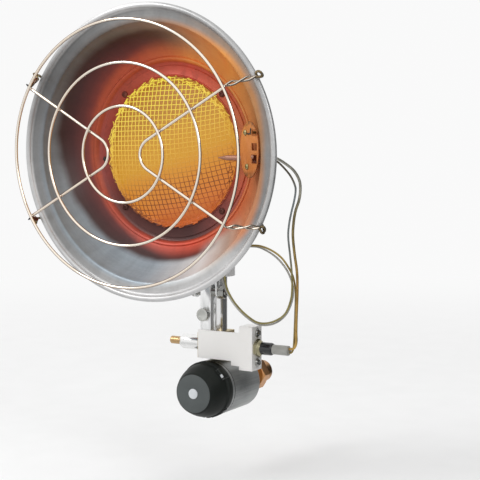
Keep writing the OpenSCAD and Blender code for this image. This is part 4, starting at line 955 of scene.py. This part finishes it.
def eased(node, width):
    """A copy of a carried part with its hard edges rounded; it stands for that part."""
    mesh = nodes[node].data.copy()
    welded(mesh, 2 * SAME_POINT, lambda work: bmesh.ops.dissolve_limit(work, angle_limit=NEARLY_FLAT,
                                                                       verts=work.verts, edges=work.edges))
    piece = add_piece("eased_" + node, mesh, node)
    rounding = piece.modifiers.new("rounding", "BEVEL")
    rounding.width, rounding.segments = width * MM, 2
    rounding.limit_method, rounding.angle_limit = "ANGLE", HARD_EDGE
    ready = piece.evaluated_get(bpy.context.evaluated_depsgraph_get())
    rounded = bpy.data.meshes.new_from_object(ready)
    piece.modifiers.clear()
    piece.data = rounded
    shade(rounded, 40)


# %% [markdown]
# ## The reflector
# The bowl is spun from one sheet of aluminised steel: a bead rolled round the rim, a flat band,
# a curved wall, a small raised ridge and the floor that the burner is clamped to. A lathe-like
# revolution is the natural way to make it. The profile is drawn once for the face; the back is
# the same line moved by the sheet's thickness, so the bowl is a real closed shell from behind.

# %% Spin the reflector
BEAD_R, BAND_W, BAND_DEPTH, FLOOR_R, SHEET = 2.7, 12.3, 7.6, 83.0, 0.8
BOWL_SIDES, RING_SIDES, SCREEN_SIDES = 224, 160, 128
BEAD_IN = RIM_R - 2 * BEAD_R
BAND_IN, RIDGE_R = BEAD_IN - BAND_W, FLOOR_R + 5
WALL_START, WALL_MID, WALL_END = (BAND_IN, BAND_DEPTH), (BAND_IN - 9, DISH_D - 18), (RIDGE_R, DISH_D - 4)


def wall_point(t):
    """A point of the curved wall, t running from the band to the ridge."""
    return tuple((1 - t) ** 2 * p + 2 * t * (1 - t) * q + t * t * r
                 for p, q, r in zip(WALL_START, WALL_MID, WALL_END))


FACE = [(BEAD_IN + 1.0, 1.0), (BEAD_IN + 0.2, 1.9), (BEAD_IN - 0.5, 3.0), (BEAD_IN - 1.6, 3.7),
        (BEAD_IN - 3.0, 4.0), (BAND_IN + 5.4, 4.25), (BAND_IN + 2.2, 4.6), (BAND_IN + 1.0, 5.1),
        (BAND_IN + 0.3, 6.0)]
FACE += [wall_point(k / 28) for k in range(29)]
FACE += [(RIDGE_R - 0.8, DISH_D - 4.9), (RIDGE_R - 1.8, DISH_D - 4.8), (RIDGE_R - 3.0, DISH_D - 3.9),
         (FLOOR_R + 0.9, DISH_D - 1.4), (FLOOR_R - 0.1, DISH_D - 0.35), (FLOOR_R - 1.2, DISH_D),
         (SCREEN_R + 2.0, DISH_D)]


# %% Close the bowl


def moved_back(line, by):
    """The same line moved sideways by the sheet's thickness."""
    out = []
    for i, (r, h) in enumerate(line):
        (r0, h0), (r1, h1) = line[max(i - 1, 0)], line[min(i + 1, len(line) - 1)]
        long = math.hypot(r1 - r0, h1 - h0)
        out.append((r + by * (h1 - h0) / long, h - by * (r1 - r0) / long))
    return out


bead_turns = [math.radians(345 * k / 23) for k in range(24)]
bead_loop = [(RIM_R - BEAD_R + BEAD_R * math.cos(t), BEAD_R + BEAD_R * math.sin(t)) for t in bead_turns]
bowl = [spun(FACE + moved_back(FACE, SHEET)[::-1], BOWL_SIDES), spun(bead_loop, BOWL_SIDES)]
make_piece("reflector_bowl", bowl, "reflector_dish", sharp=50)

# %% [markdown]
# ## The burner
# A clamp ring holds the edge of the woven screen. It is a plain washer with a raised lip, four
# screws and one dark gas slot. It is turned like the bowl, with a soft lip. The slot is a black
# tube laid on the ring's face: painted shade standing for the opening.

# %% Turn the clamp ring
RING_T, RING_OUT, SLOT_R, SLOT_ANGLE = 1.0, 80.0, 77.6, math.radians(186)
ring_top = DISH_D - RING_T
ring_line = [(RING_OUT, DISH_D), (RING_OUT, ring_top + 0.3), (RING_OUT - 0.3, ring_top),
             (SCREEN_R + 2.9, ring_top), (SCREEN_R + 2.3, ring_top - 0.4), (SCREEN_R + 2.1, ring_top - 1.1),
             (SCREEN_R + 1.6, ring_top - 1.4), (SCREEN_R + 0.9, ring_top - 1.2),
             (SCREEN_R + 0.6, ring_top - 0.6), (SCREEN_R + 0.6, DISH_D)]
make_piece("clamp_ring", [spun(ring_line, RING_SIDES)], "burner_clamp_ring")

slot_path = [from_dish(0, 0, ring_top - 0.15) + MM * SLOT_R * ray_at(SLOT_ANGLE + k * 0.008 - 0.032)
             for k in range(9)]


def slot_girth(share):
    """A slot that is widest in its middle and nearly closed at its ends."""
    return MM * (0.4 + 1.3 * math.sin(math.pi * min(max(share, 0.04), 0.96)))


# The gas slot is a black tube on the ring's face, painted shade standing for the opening.
make_piece("clamp_ring_slot_shade", [tube(slot_path, slot_girth)], slot="dark_fastener", body="head")

# %% [markdown]
# The screen is woven: every wire goes over one crossing wire and under the next, and the whole
# cloth is pressed into a shallow dome. Each wire is a tube whose path is a sine wave on the
# dome, so the weave is real geometry and catches the light from any side. The cut ends are left
# ragged, so each wire stops at its own random length and stray strands fringe the edge, all from
# one seeded draw.

# %% Weave the screen
RISE, PITCH, WIRE, WAVE, STRAY_STRANDS = 12.0, 4.55, 0.36, 0.34, 340
SPHERE = (SCREEN_R ** 2 + RISE ** 2) / (2 * RISE)
SCREEN_TOP = DISH_D - 3 - RISE


def dome(x, up, lift):
    """A point on the screen's dome, lifted off it towards the front."""
    away = min(math.hypot(x, up), SCREEN_R)
    return from_dish(x, up, SCREEN_TOP + SPHERE - math.sqrt(SPHERE ** 2 - away ** 2) - lift)


def cloth_turn(x, up):
    """The cloth was pulled askew when it was pressed: it turns most at the lower right."""
    return math.radians(2 + 9 * max(0.0, min(1.0, (x - up) / 110 + 0.25)))


def woven_path(offset, start, end, crosswise, over):
    """One wire of the cloth, a wave across the wires that it crosses."""
    steps = max(int((end - start) / (PITCH / 4)), 4)
    path = []
    for k in range(steps + 1):
        along = start + (end - start) * k / steps
        wave = over * (-1 if crosswise else 1) * WAVE * math.cos(math.pi * (along / PITCH - 0.5))
        u, v = (offset, along) if crosswise else (along, offset)
        skew = cloth_turn(u, v)
        path.append(dome(u * math.cos(skew) - v * math.sin(skew),
                         u * math.sin(skew) + v * math.cos(skew), 0.4 + wave))
    return path


# %% Lay the wires and the stray strands
draw = random.Random(7)
skins = []
rows = int(SCREEN_R / PITCH)
for crosswise in (False, True):
    for i in range(-rows, rows + 1):
        offset = (i + 0.5) * PITCH + draw.uniform(-0.18, 0.18)
        if abs(offset) >= SCREEN_R - 1.5:
            continue
        half = math.sqrt(SCREEN_R ** 2 - offset ** 2)
        start, end = -half + draw.uniform(-0.4, 1.6), half - draw.uniform(-0.4, 1.6)
        skins.append(tube(woven_path(offset, start, end, crosswise, 1 if i % 2 else -1), WIRE * MM, 6))
for k in range(STRAY_STRANDS):
    angle, length = draw.uniform(0, 2 * math.pi), draw.uniform(2.0, 6.5)
    away, tilt = SCREEN_R - draw.uniform(-1.4, 4.2), draw.uniform(-0.6, 0.6)
    middle = Vector((math.cos(angle), math.sin(angle))) * away
    run = Vector((-math.sin(angle + tilt), math.cos(angle + tilt))) * length / 2
    path = [dome(*(middle + run * share), 0.7 + draw.uniform(-0.5, 0.8)) for share in (-1, -0.4, 0.3, 1)]
    skins.append(tube(path, draw.choice((0.3, 0.38)) * MM, 5))
make_piece("woven_screen", skins, "outer_screen")

# %% [markdown]
# Behind it lies a second, finer cloth, too fine to weave wire by wire at this size. It is a
# turned dome with a fine speckle in place of the weave, and it glows more than it reflects. A
# narrow washer of the same cloth fills the frayed edge, where the two cloths are crushed together.

# %% Turn the inner screen
INNER_GAP, CLOTH = 3.0, 0.7
inner_r, inner_rise = SCREEN_R - INNER_GAP, RISE - 1.2
inner_sphere = (inner_r ** 2 + inner_rise ** 2) / (2 * inner_rise)
inner_line = []
for k in range(25):
    r = inner_r * k / 24
    inner_line.append((r, DISH_D - 2 - RISE + INNER_GAP + inner_sphere
                       - math.sqrt(inner_sphere ** 2 - r * r)))
edge_r, edge_h = inner_line[-1]
inner_line += [(edge_r + 0.6, edge_h + 0.6), (edge_r + 0.6, DISH_D + 1.2), (edge_r - 0.4, DISH_D + 1.2),
               (edge_r - 0.4, edge_h + 0.9)] + [(r, h + CLOTH) for r, h in inner_line[23::-1]]
make_piece("fine_screen", [spun(inner_line, SCREEN_SIDES, False)], "inner_screen", sharp=60)
frayed_line = [(inner_r - 1.0, DISH_D - 2.2), (SCREEN_R + 0.5, DISH_D - 2.9), (SCREEN_R + 0.5, DISH_D - 2.2),
               (inner_r - 1.0, DISH_D - 1.5)]
make_piece("frayed_screen_edge", [spun(frayed_line, SCREEN_SIDES)], slot="inner_mesh", body="head")

# %% [markdown]
# ## The guard
# The guard is bent from plated wire: three rings, two hairpins that carry them, and four posts
# of two twisted wires that hook round the rolled rim. Wires are tubes along circles and lines.
# Where wires cross they are resistance-welded, which squashes each a little into the other, so
# a small flattened bead sits at every crossing.

# %% Bend the rings and hairpins
GUARD_OUT, GUARD_WIRE, LEG = 33.2, 1.35, math.radians(30)
RING_RADII = {"guard_outer_ring": 118.2, "guard_middle_ring": 80.5, "guard_inner_ring": 42.5}
OUTER_R = RING_RADII["guard_outer_ring"]
HAIR_BEND, HAIR_NOSE, HAIR_DEPTH = 15.0, 17.0, -GUARD_OUT + 2 * GUARD_WIRE
WIRE_SIDES, CIRCLE_STEPS, BEND_STEPS, LEG_STEPS = 14, 180, 24, 12


def guard_piece(node, path, closed):
    make_piece(node.replace("guard_", "guard_wire_"), [tube(path, GUARD_WIRE * MM, WIRE_SIDES, closed)], node)


def reach_to(radius, here, run):
    """How far to go from here along run to meet the circle of that radius."""
    return -here.dot(run) + math.sqrt(here.dot(run) ** 2 - here.dot(here) + radius ** 2)


def hairpin_path(side):
    heel = HAIR_NOSE + HAIR_BEND
    bend = [(heel - HAIR_BEND * math.cos(t), HAIR_BEND * math.sin(t))
            for t in [math.radians(-60 + 120 * k / BEND_STEPS) for k in range(BEND_STEPS + 1)]]
    ends = []
    for way, foot in ((-1, bend[0]), (1, bend[-1])):
        here, run = Vector(foot), Vector((math.cos(LEG), way * math.sin(LEG)))
        reach = reach_to(OUTER_R, here, run)
        ends.append([tuple(here + run * reach * k / LEG_STEPS) for k in range(1, LEG_STEPS + 1)])
    return [from_dish(side * x, up, HAIR_DEPTH) for x, up in ends[0][::-1] + bend + ends[1]]


for node, radius in RING_RADII.items():
    turns = [2 * math.pi * k / CIRCLE_STEPS for k in range(CIRCLE_STEPS)]
    circle = [from_dish(radius * math.cos(turn), radius * math.sin(turn), -GUARD_OUT) for turn in turns]
    guard_piece(node, circle, True)
for side, node in ((1, "guard_hairpin_right"), (-1, "guard_hairpin_left")):
    guard_piece(node, hairpin_path(side), False)

# %% Weld the crossings
WELD_R, WELD_THICK = 1.9, 1.3


def block_skin(block, place):
    """Points and faces of a finished bmesh, each point put where place says."""
    block.verts.index_update()
    points = [place(corner.co) for corner in block.verts]
    faces = [tuple(corner.index for corner in face.verts) for face in block.faces]
    block.free()
    return points, faces


def weld_bead(centre):
    """A small squashed bead: an icosphere pressed flat along the depth."""
    bead = bmesh.new()
    bmesh.ops.create_icosphere(bead, subdivisions=2, radius=1.0)
    return block_skin(bead, lambda v: centre + Vector((v.x * WELD_R, v.y * WELD_THICK, v.z * WELD_R)) * MM)


nose = Vector((HAIR_NOSE + HAIR_BEND * (1 - math.sin(LEG)), HAIR_BEND * math.cos(LEG)))
run = Vector((math.cos(LEG), math.sin(LEG)))
beads = []
for radius in RING_RADII.values():
    x, up = nose + run * reach_to(radius, nose, run)
    beads += [weld_bead(from_dish(sign_x * x, sign_z * up, -GUARD_OUT + GUARD_WIRE))
              for sign_x in (-1, 1) for sign_z in (-1, 1)]
make_piece("guard_welds", beads, slot="guard_wire", body="head")

# %% [markdown]
# Each post is two wires twisted together, by one slow turn, so two long eyes open between them.
# Twisting makes both follow a helix round the same line, half a turn apart. At the rim one
# strand curls into a hook that grips the bead from outside and behind, and the other is bent
# across it and cut off short. The hooks grip the hot rim; their darker colour is painted shade
# where they wrap round it, with a painted highlight on their edges and painted dark sides. The
# lower posts were bent up in use, so their hooks sit higher round the rim than they were made to.

# %% Twist the posts
STRAND, STRAND_STEPS, TWIST, TIGHT, EYE = 1.0, 60, math.radians(370), 1.02, 1.55
POST_START, HOOK = (OUTER_R + GUARD_WIRE, HAIR_DEPTH), (RIM_R + 0.2, -2.0)
BENT_UP = {-LEG: 7.0, math.pi + LEG: -4.5}
CURLED = [(2.0, 2.0, -1.0), (3.8, 2.6, 0.2), (5.0, 1.0, 1.6), (4.8, -1.2, 3.2), (3.2, -1.8, 5.0),
          (0.4, -0.6, 7.6), (-3.0, 0.6, 9.0)]
CUT_SHORT = [(2.0, -1.6, 0.4), (3.6, -2.7, 0.8), (5.2, -2.6, 0.4), (6.4, -1.4, -0.4)]


def post_strands(angle, bent_up):
    """The two twisted strands of one post and the two hooks they end in."""
    ray, up = ray_at(angle), Vector((-math.sin(angle), 0, math.cos(angle)))

    def spot(r, side, depth):
        return DISH_CENTRE + (ray * r + up * side + INTO_DISH * depth) * MM

    strands, hooks = [], []
    for phase, tail in ((0, CURLED), (math.pi, CUT_SHORT)):
        path = []
        for i in range(STRAND_STEPS + 1):
            t = i / STRAND_STEPS
            turn = phase + TWIST * t
            loose = STRAND * (TIGHT + (EYE - TIGHT) * math.sin(2 * math.pi * t) ** 2)
            path.append(spot(POST_START[0] + t * (HOOK[0] - POST_START[0]) + 0.9 * STRAND * math.cos(turn),
                             loose * math.sin(turn) + bent_up * t,
                             POST_START[1] + t * (HOOK[1] - POST_START[1]) + 0.5 * STRAND * math.cos(turn)))
        strands.append(tube(path, STRAND * MM, 12))
        curl = [spot(HOOK[0] + a, b + bent_up, HOOK[1] + c) for a, b, c in tail]
        hooks.append(tube(smooth_path([path[-3], path[-1]] + curl, 6), 1.14 * STRAND * MM, 12))
    return strands, hooks


posts, hooks = [], []
for angle in (LEG, -LEG, math.pi - LEG, math.pi + LEG):
    strands, ends = post_strands(angle, BENT_UP.get(angle, 0.0))
    posts += strands
    hooks += ends
make_piece("guard_twisted_posts", posts, "guard_posts", sharp=60)
dress(make_piece("guard_post_hooks", hooks, sharp=60, slot="guard_wire", body="head"),
      FINISH["painted_shade_hook"])

# %% [markdown]
# On the left, the posts' wires were cut off proud of the outer ring, so two dark tips stand out.

# %% Cut the tips


def tip_path(angle):
    """The short run of a tip, outwards and a little back."""
    return [DISH_CENTRE + (ray_at(angle) * (OUTER_R + r)
                           + INTO_DISH * (-GUARD_OUT + GUARD_WIRE * 1.6 + 0.1 * r)) * MM
            for r in (0.6, 2.4, 4.2, 5.4, 6.2)]


def tip_girth(share):
    return MM * STRAND * (1.1 - 0.75 * share ** 2)


tips = [tube(tip_path(angle), tip_girth, 10) for angle in (math.pi - LEG, math.pi + LEG)]
make_piece("guard_post_tips", tips, slot="dark_fastener", body="head")

# %% [markdown]
# ## The leads
# Four thin leads join the probe, the tip-over switch and the valve. Each is a tube along the
# same route as its solid. Two of them cross the tilt joint, so they ride on neither body: their
# points are baked where they lie.

# %% Run the leads
ROUTES = {
    "thermocouple_lead": [
        (112.6, -177.2, 232), (115.5, -175.6, 231), (118.5, -167.8, 227), (122.5, -157.8, 220),
        (124, -149.8, 211), (121.5, -142.8, 202), (117, -136.8, 192), (111, -131.8, 182),
        (107, -127.8, 172), (103.5, -122.8, 158), (102.6, -117.8, 141), (103.2, -113.8, 123),
        (101.6, -109.8, 104), (98.6, -105.3, 84), (96, -101.2, 65), (95.6, -100.2, 54), (93, -100.1, 48),
        (88, -100.1, 46.6)],
    "sensor_lead": [
        (112.7, -175.8, 229.4), (115.2, -170.8, 226.6), (118, -156.8, 216), (118.6, -147.8, 206),
        (116, -141.8, 199), (111, -135.8, 189), (106, -130.8, 180), (101.5, -126.8, 168),
        (99.2, -123.8, 156), (99.2, -119.8, 138), (99.8, -117.8, 123), (99.2, -115.8, 108),
        (97.2, -114.8, 96), (90.6, -112.8, 83), (80.4, -111.3, 75.5), (68.5, -110.3, 71.5),
        (57.5, -110.3, 72), (45, -110.3, 79), (35, -110.8, 88), (28, -111.3, 98), (25.4, -112.8, 107),
        (25, -115.8, 120), (26, -119.3, 131), (26, -119.8, 139.6)],
    "switch_lead": [
        (31, -115.8, 150), (37, -118.4, 149.4), (47, -123.8, 147), (57.6, -125.3, 146), (68.4, -122.3, 145),
        (81, -118.3, 138), (90, -115.3, 128.5), (95.4, -112.8, 118), (97.4, -110.3, 107),
        (95.8, -109.3, 95), (89, -107.3, 82), (78.4, -105.3, 73), (65.5, -103.3, 68.5), (53, -102.3, 69),
        (40, -102.3, 76), (30, -104.3, 86), (23.6, -106.8, 97), (21.2, -109.3, 106), (20.6, -113.8, 118),
        (20.4, -117.4, 130), (20.4, -117.8, 139.6)],
    "return_lead": [
        (31, -122.8, 152), (37, -125.2, 151.2), (48, -130.3, 148.5), (60, -129.8, 147.4), (71, -126.8, 147),
        (81, -122.8, 143), (89, -118.8, 136.5), (94.6, -115.8, 128), (97.8, -111.3, 118),
        (97.6, -106.4, 106), (96.4, -103.4, 95), (94.2, -99.8, 82), (92.4, -97.4, 68), (91.8, -97.2, 56),
        (91.4, -98, 47.5), (90, -98.8, 43.6), (88, -99, 43)],
}
LEAD_GIRTH = {"thermocouple_lead": 1.3, "sensor_lead": 0.95, "switch_lead": 0.95, "return_lead": 0.95}
CROSSING = {"thermocouple_lead": ((95.6, -100.2, 60), (115, -175.8, 229)),
            "return_lead": ((92, -97.4, 62), (81, -122.8, 143))}

for node, route in ROUTES.items():
    path = smooth_path([at(*point) for point in route], 9)
    crossing = CROSSING.get(node)
    piece = make_piece(node + "_run", [tube(path, LEAD_GIRTH[node] * MM, 12)], node, sharp=60,
                       bends=bool(crossing))
    if crossing:
        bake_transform(piece)
    print(node, "is", round(sum((b - a).length for a, b in zip(path, path[1:])) / MM), "mm long")

# %% [markdown]
# ## Sheet metal, castings and turned parts
# These carried solids already have the right form. What gives them away as drawings is their
# knife-sharp edges, so each gets an eased copy with a small round, wide on castings and narrow
# on thin sheet.

# %% Ease the hard edges
EASE_WIDTH = {
    "front_bracket": 0.35, "channel_post": 0.2, "post_bracket": 0.2, "valve_block": 0.5, "head_bracket": 0.3,
    "tip_switch": 0.8, "side_screws": 0.2, "magnet_nut": 0.3, "insulator": 0.4, "lead_sleeve": 0.5,
    "button_sleeve": 0.3, "pivot_bolt": 0.3, "pivot_nut": 0.3, "thumb_screw": 0.15, "knob_pointer": 0.5,
    "knob_centre_cap": 0.35, "knob_face_disc": 0.2, "control_knob": 0.4, "regulator_body": 0.5,
    "regulator_bonnet": 0.4, "clamp_screws": 0.2, "head_bracket_screws": 0.25, "bonnet_screws": 0.2,
    "thermocouple_nut": 0.3, "probe_cover_screws": 0.2, "probe_cover": 0.2,
}
for node, width in EASE_WIDTH.items():
    eased(node, width)

# %% [markdown]
# The valve's spring sits between the button and the wall behind it, so it has to get shorter as
# the button goes in. It is wound as a helix and rides on no body; its points are baked where
# they lie.

# %% Wind the button's spring
SPRING_WIRE, SPRING_TURNS, TURN_STEPS = 0.5, 7, 20
spring_lo, spring_hi = (Vector(corner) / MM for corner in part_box("button_spring"))
coil_r = (spring_hi.z - spring_lo.z) / 2 - SPRING_WIRE
coil_mid, coil_length = (spring_lo + spring_hi) / 2, spring_hi.x - spring_lo.x - 2 * SPRING_WIRE


def coil_point(k):
    share, turn = k / (SPRING_TURNS * TURN_STEPS), 2 * math.pi * k / TURN_STEPS
    return MM * Vector((spring_lo.x + SPRING_WIRE + coil_length * share, coil_mid.y + coil_r * math.cos(turn),
                        coil_mid.z + coil_r * math.sin(turn)))


coil = [coil_point(k) for k in range(SPRING_TURNS * TURN_STEPS + 1)]
spring = make_piece("button_spring_coil", [tube(coil, SPRING_WIRE * MM, 8)], "button_spring",
                    sharp=60, bends=True)
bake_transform(spring)

# %% [markdown]
# Small things sit on carried parts. The dial's pointer has a pale square inlay that marks the
# setting. The probe's cover has a rivet between its windows and a bent clip over the upper one.

# %% Add the inlay
MARK_R, MARK_PROUD, MARK_HALF, MARK_ROUND = 28.0, 0.05, (1.7, 1.3, 0.25), 0.12


def soft_block(centre, right, up):
    """The inlay's block with rounded edges; right and up are unit vectors."""
    block = bmesh.new()
    bmesh.ops.create_cube(block, size=2.0)
    for corner in block.verts:
        corner.co = [a * half for a, half in zip(corner.co, MARK_HALF)]
    bmesh.ops.bevel(block, geom=list(block.edges), offset=MARK_ROUND, segments=2, affect="EDGES")
    return block_skin(block, lambda v: centre * MM + (right * v.x + up * v.y + right.cross(up) * v.z) * MM)


pointer_turn = math.radians(37)
outward, along = ray_at(pointer_turn), Vector((-math.sin(pointer_turn), 0, math.cos(pointer_turn)))
mark_at = Vector((0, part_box("knob_pointer")[0][1] / MM - MARK_PROUD, 0)) + outward * MARK_R
make_piece("pointer_mark", [soft_block(mark_at, along, outward)], slot="knob_cap_grey", body="knob")

# %% Add the rivet and the clip
slope = math.radians(33)
face_out = Vector((-math.sin(slope), -math.cos(slope), 0))
face_right = Vector((math.cos(slope), -math.sin(slope), 0))
cover_lo, cover_hi = (Vector(corner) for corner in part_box("probe_cover"))
cover_mid = (cover_lo + cover_hi) / 2 / MM


def on_cover(right, up, out=0.6):
    """A point on the face of the probe's cover."""
    return (cover_mid + face_right * right + Vector((0, 0, 1)) * up + face_out * out) * MM


rivet_line = [(0.1, 1.5), (0.8, 1.35), (1.4, 0.9), (1.8, 0.3), (1.9, 0.0), (0.1, 0.0)]
rivet = turned(rivet_line, on_cover(6.6, -6.2, 0.5), face_out, 32)
make_piece("cover_rivet", [rivet], slot="probe_steel", body="head")
CLIP_LINE = [(-4.4, 14.6), (-2.6, 14.2, 1.0), (-0.8, 13.6, 1.2), (1.2, 14.4, 1.2), (3.0, 13.8, 1.0),
             (3.4, 17.2, 0.9), (3.2, 19.0, 0.6)]
clip_path = smooth_path([on_cover(*spot) for spot in CLIP_LINE], 6)
make_piece("cover_clip", [tube(clip_path, 0.55 * MM, 8)], slot="dark_fastener", body="head")
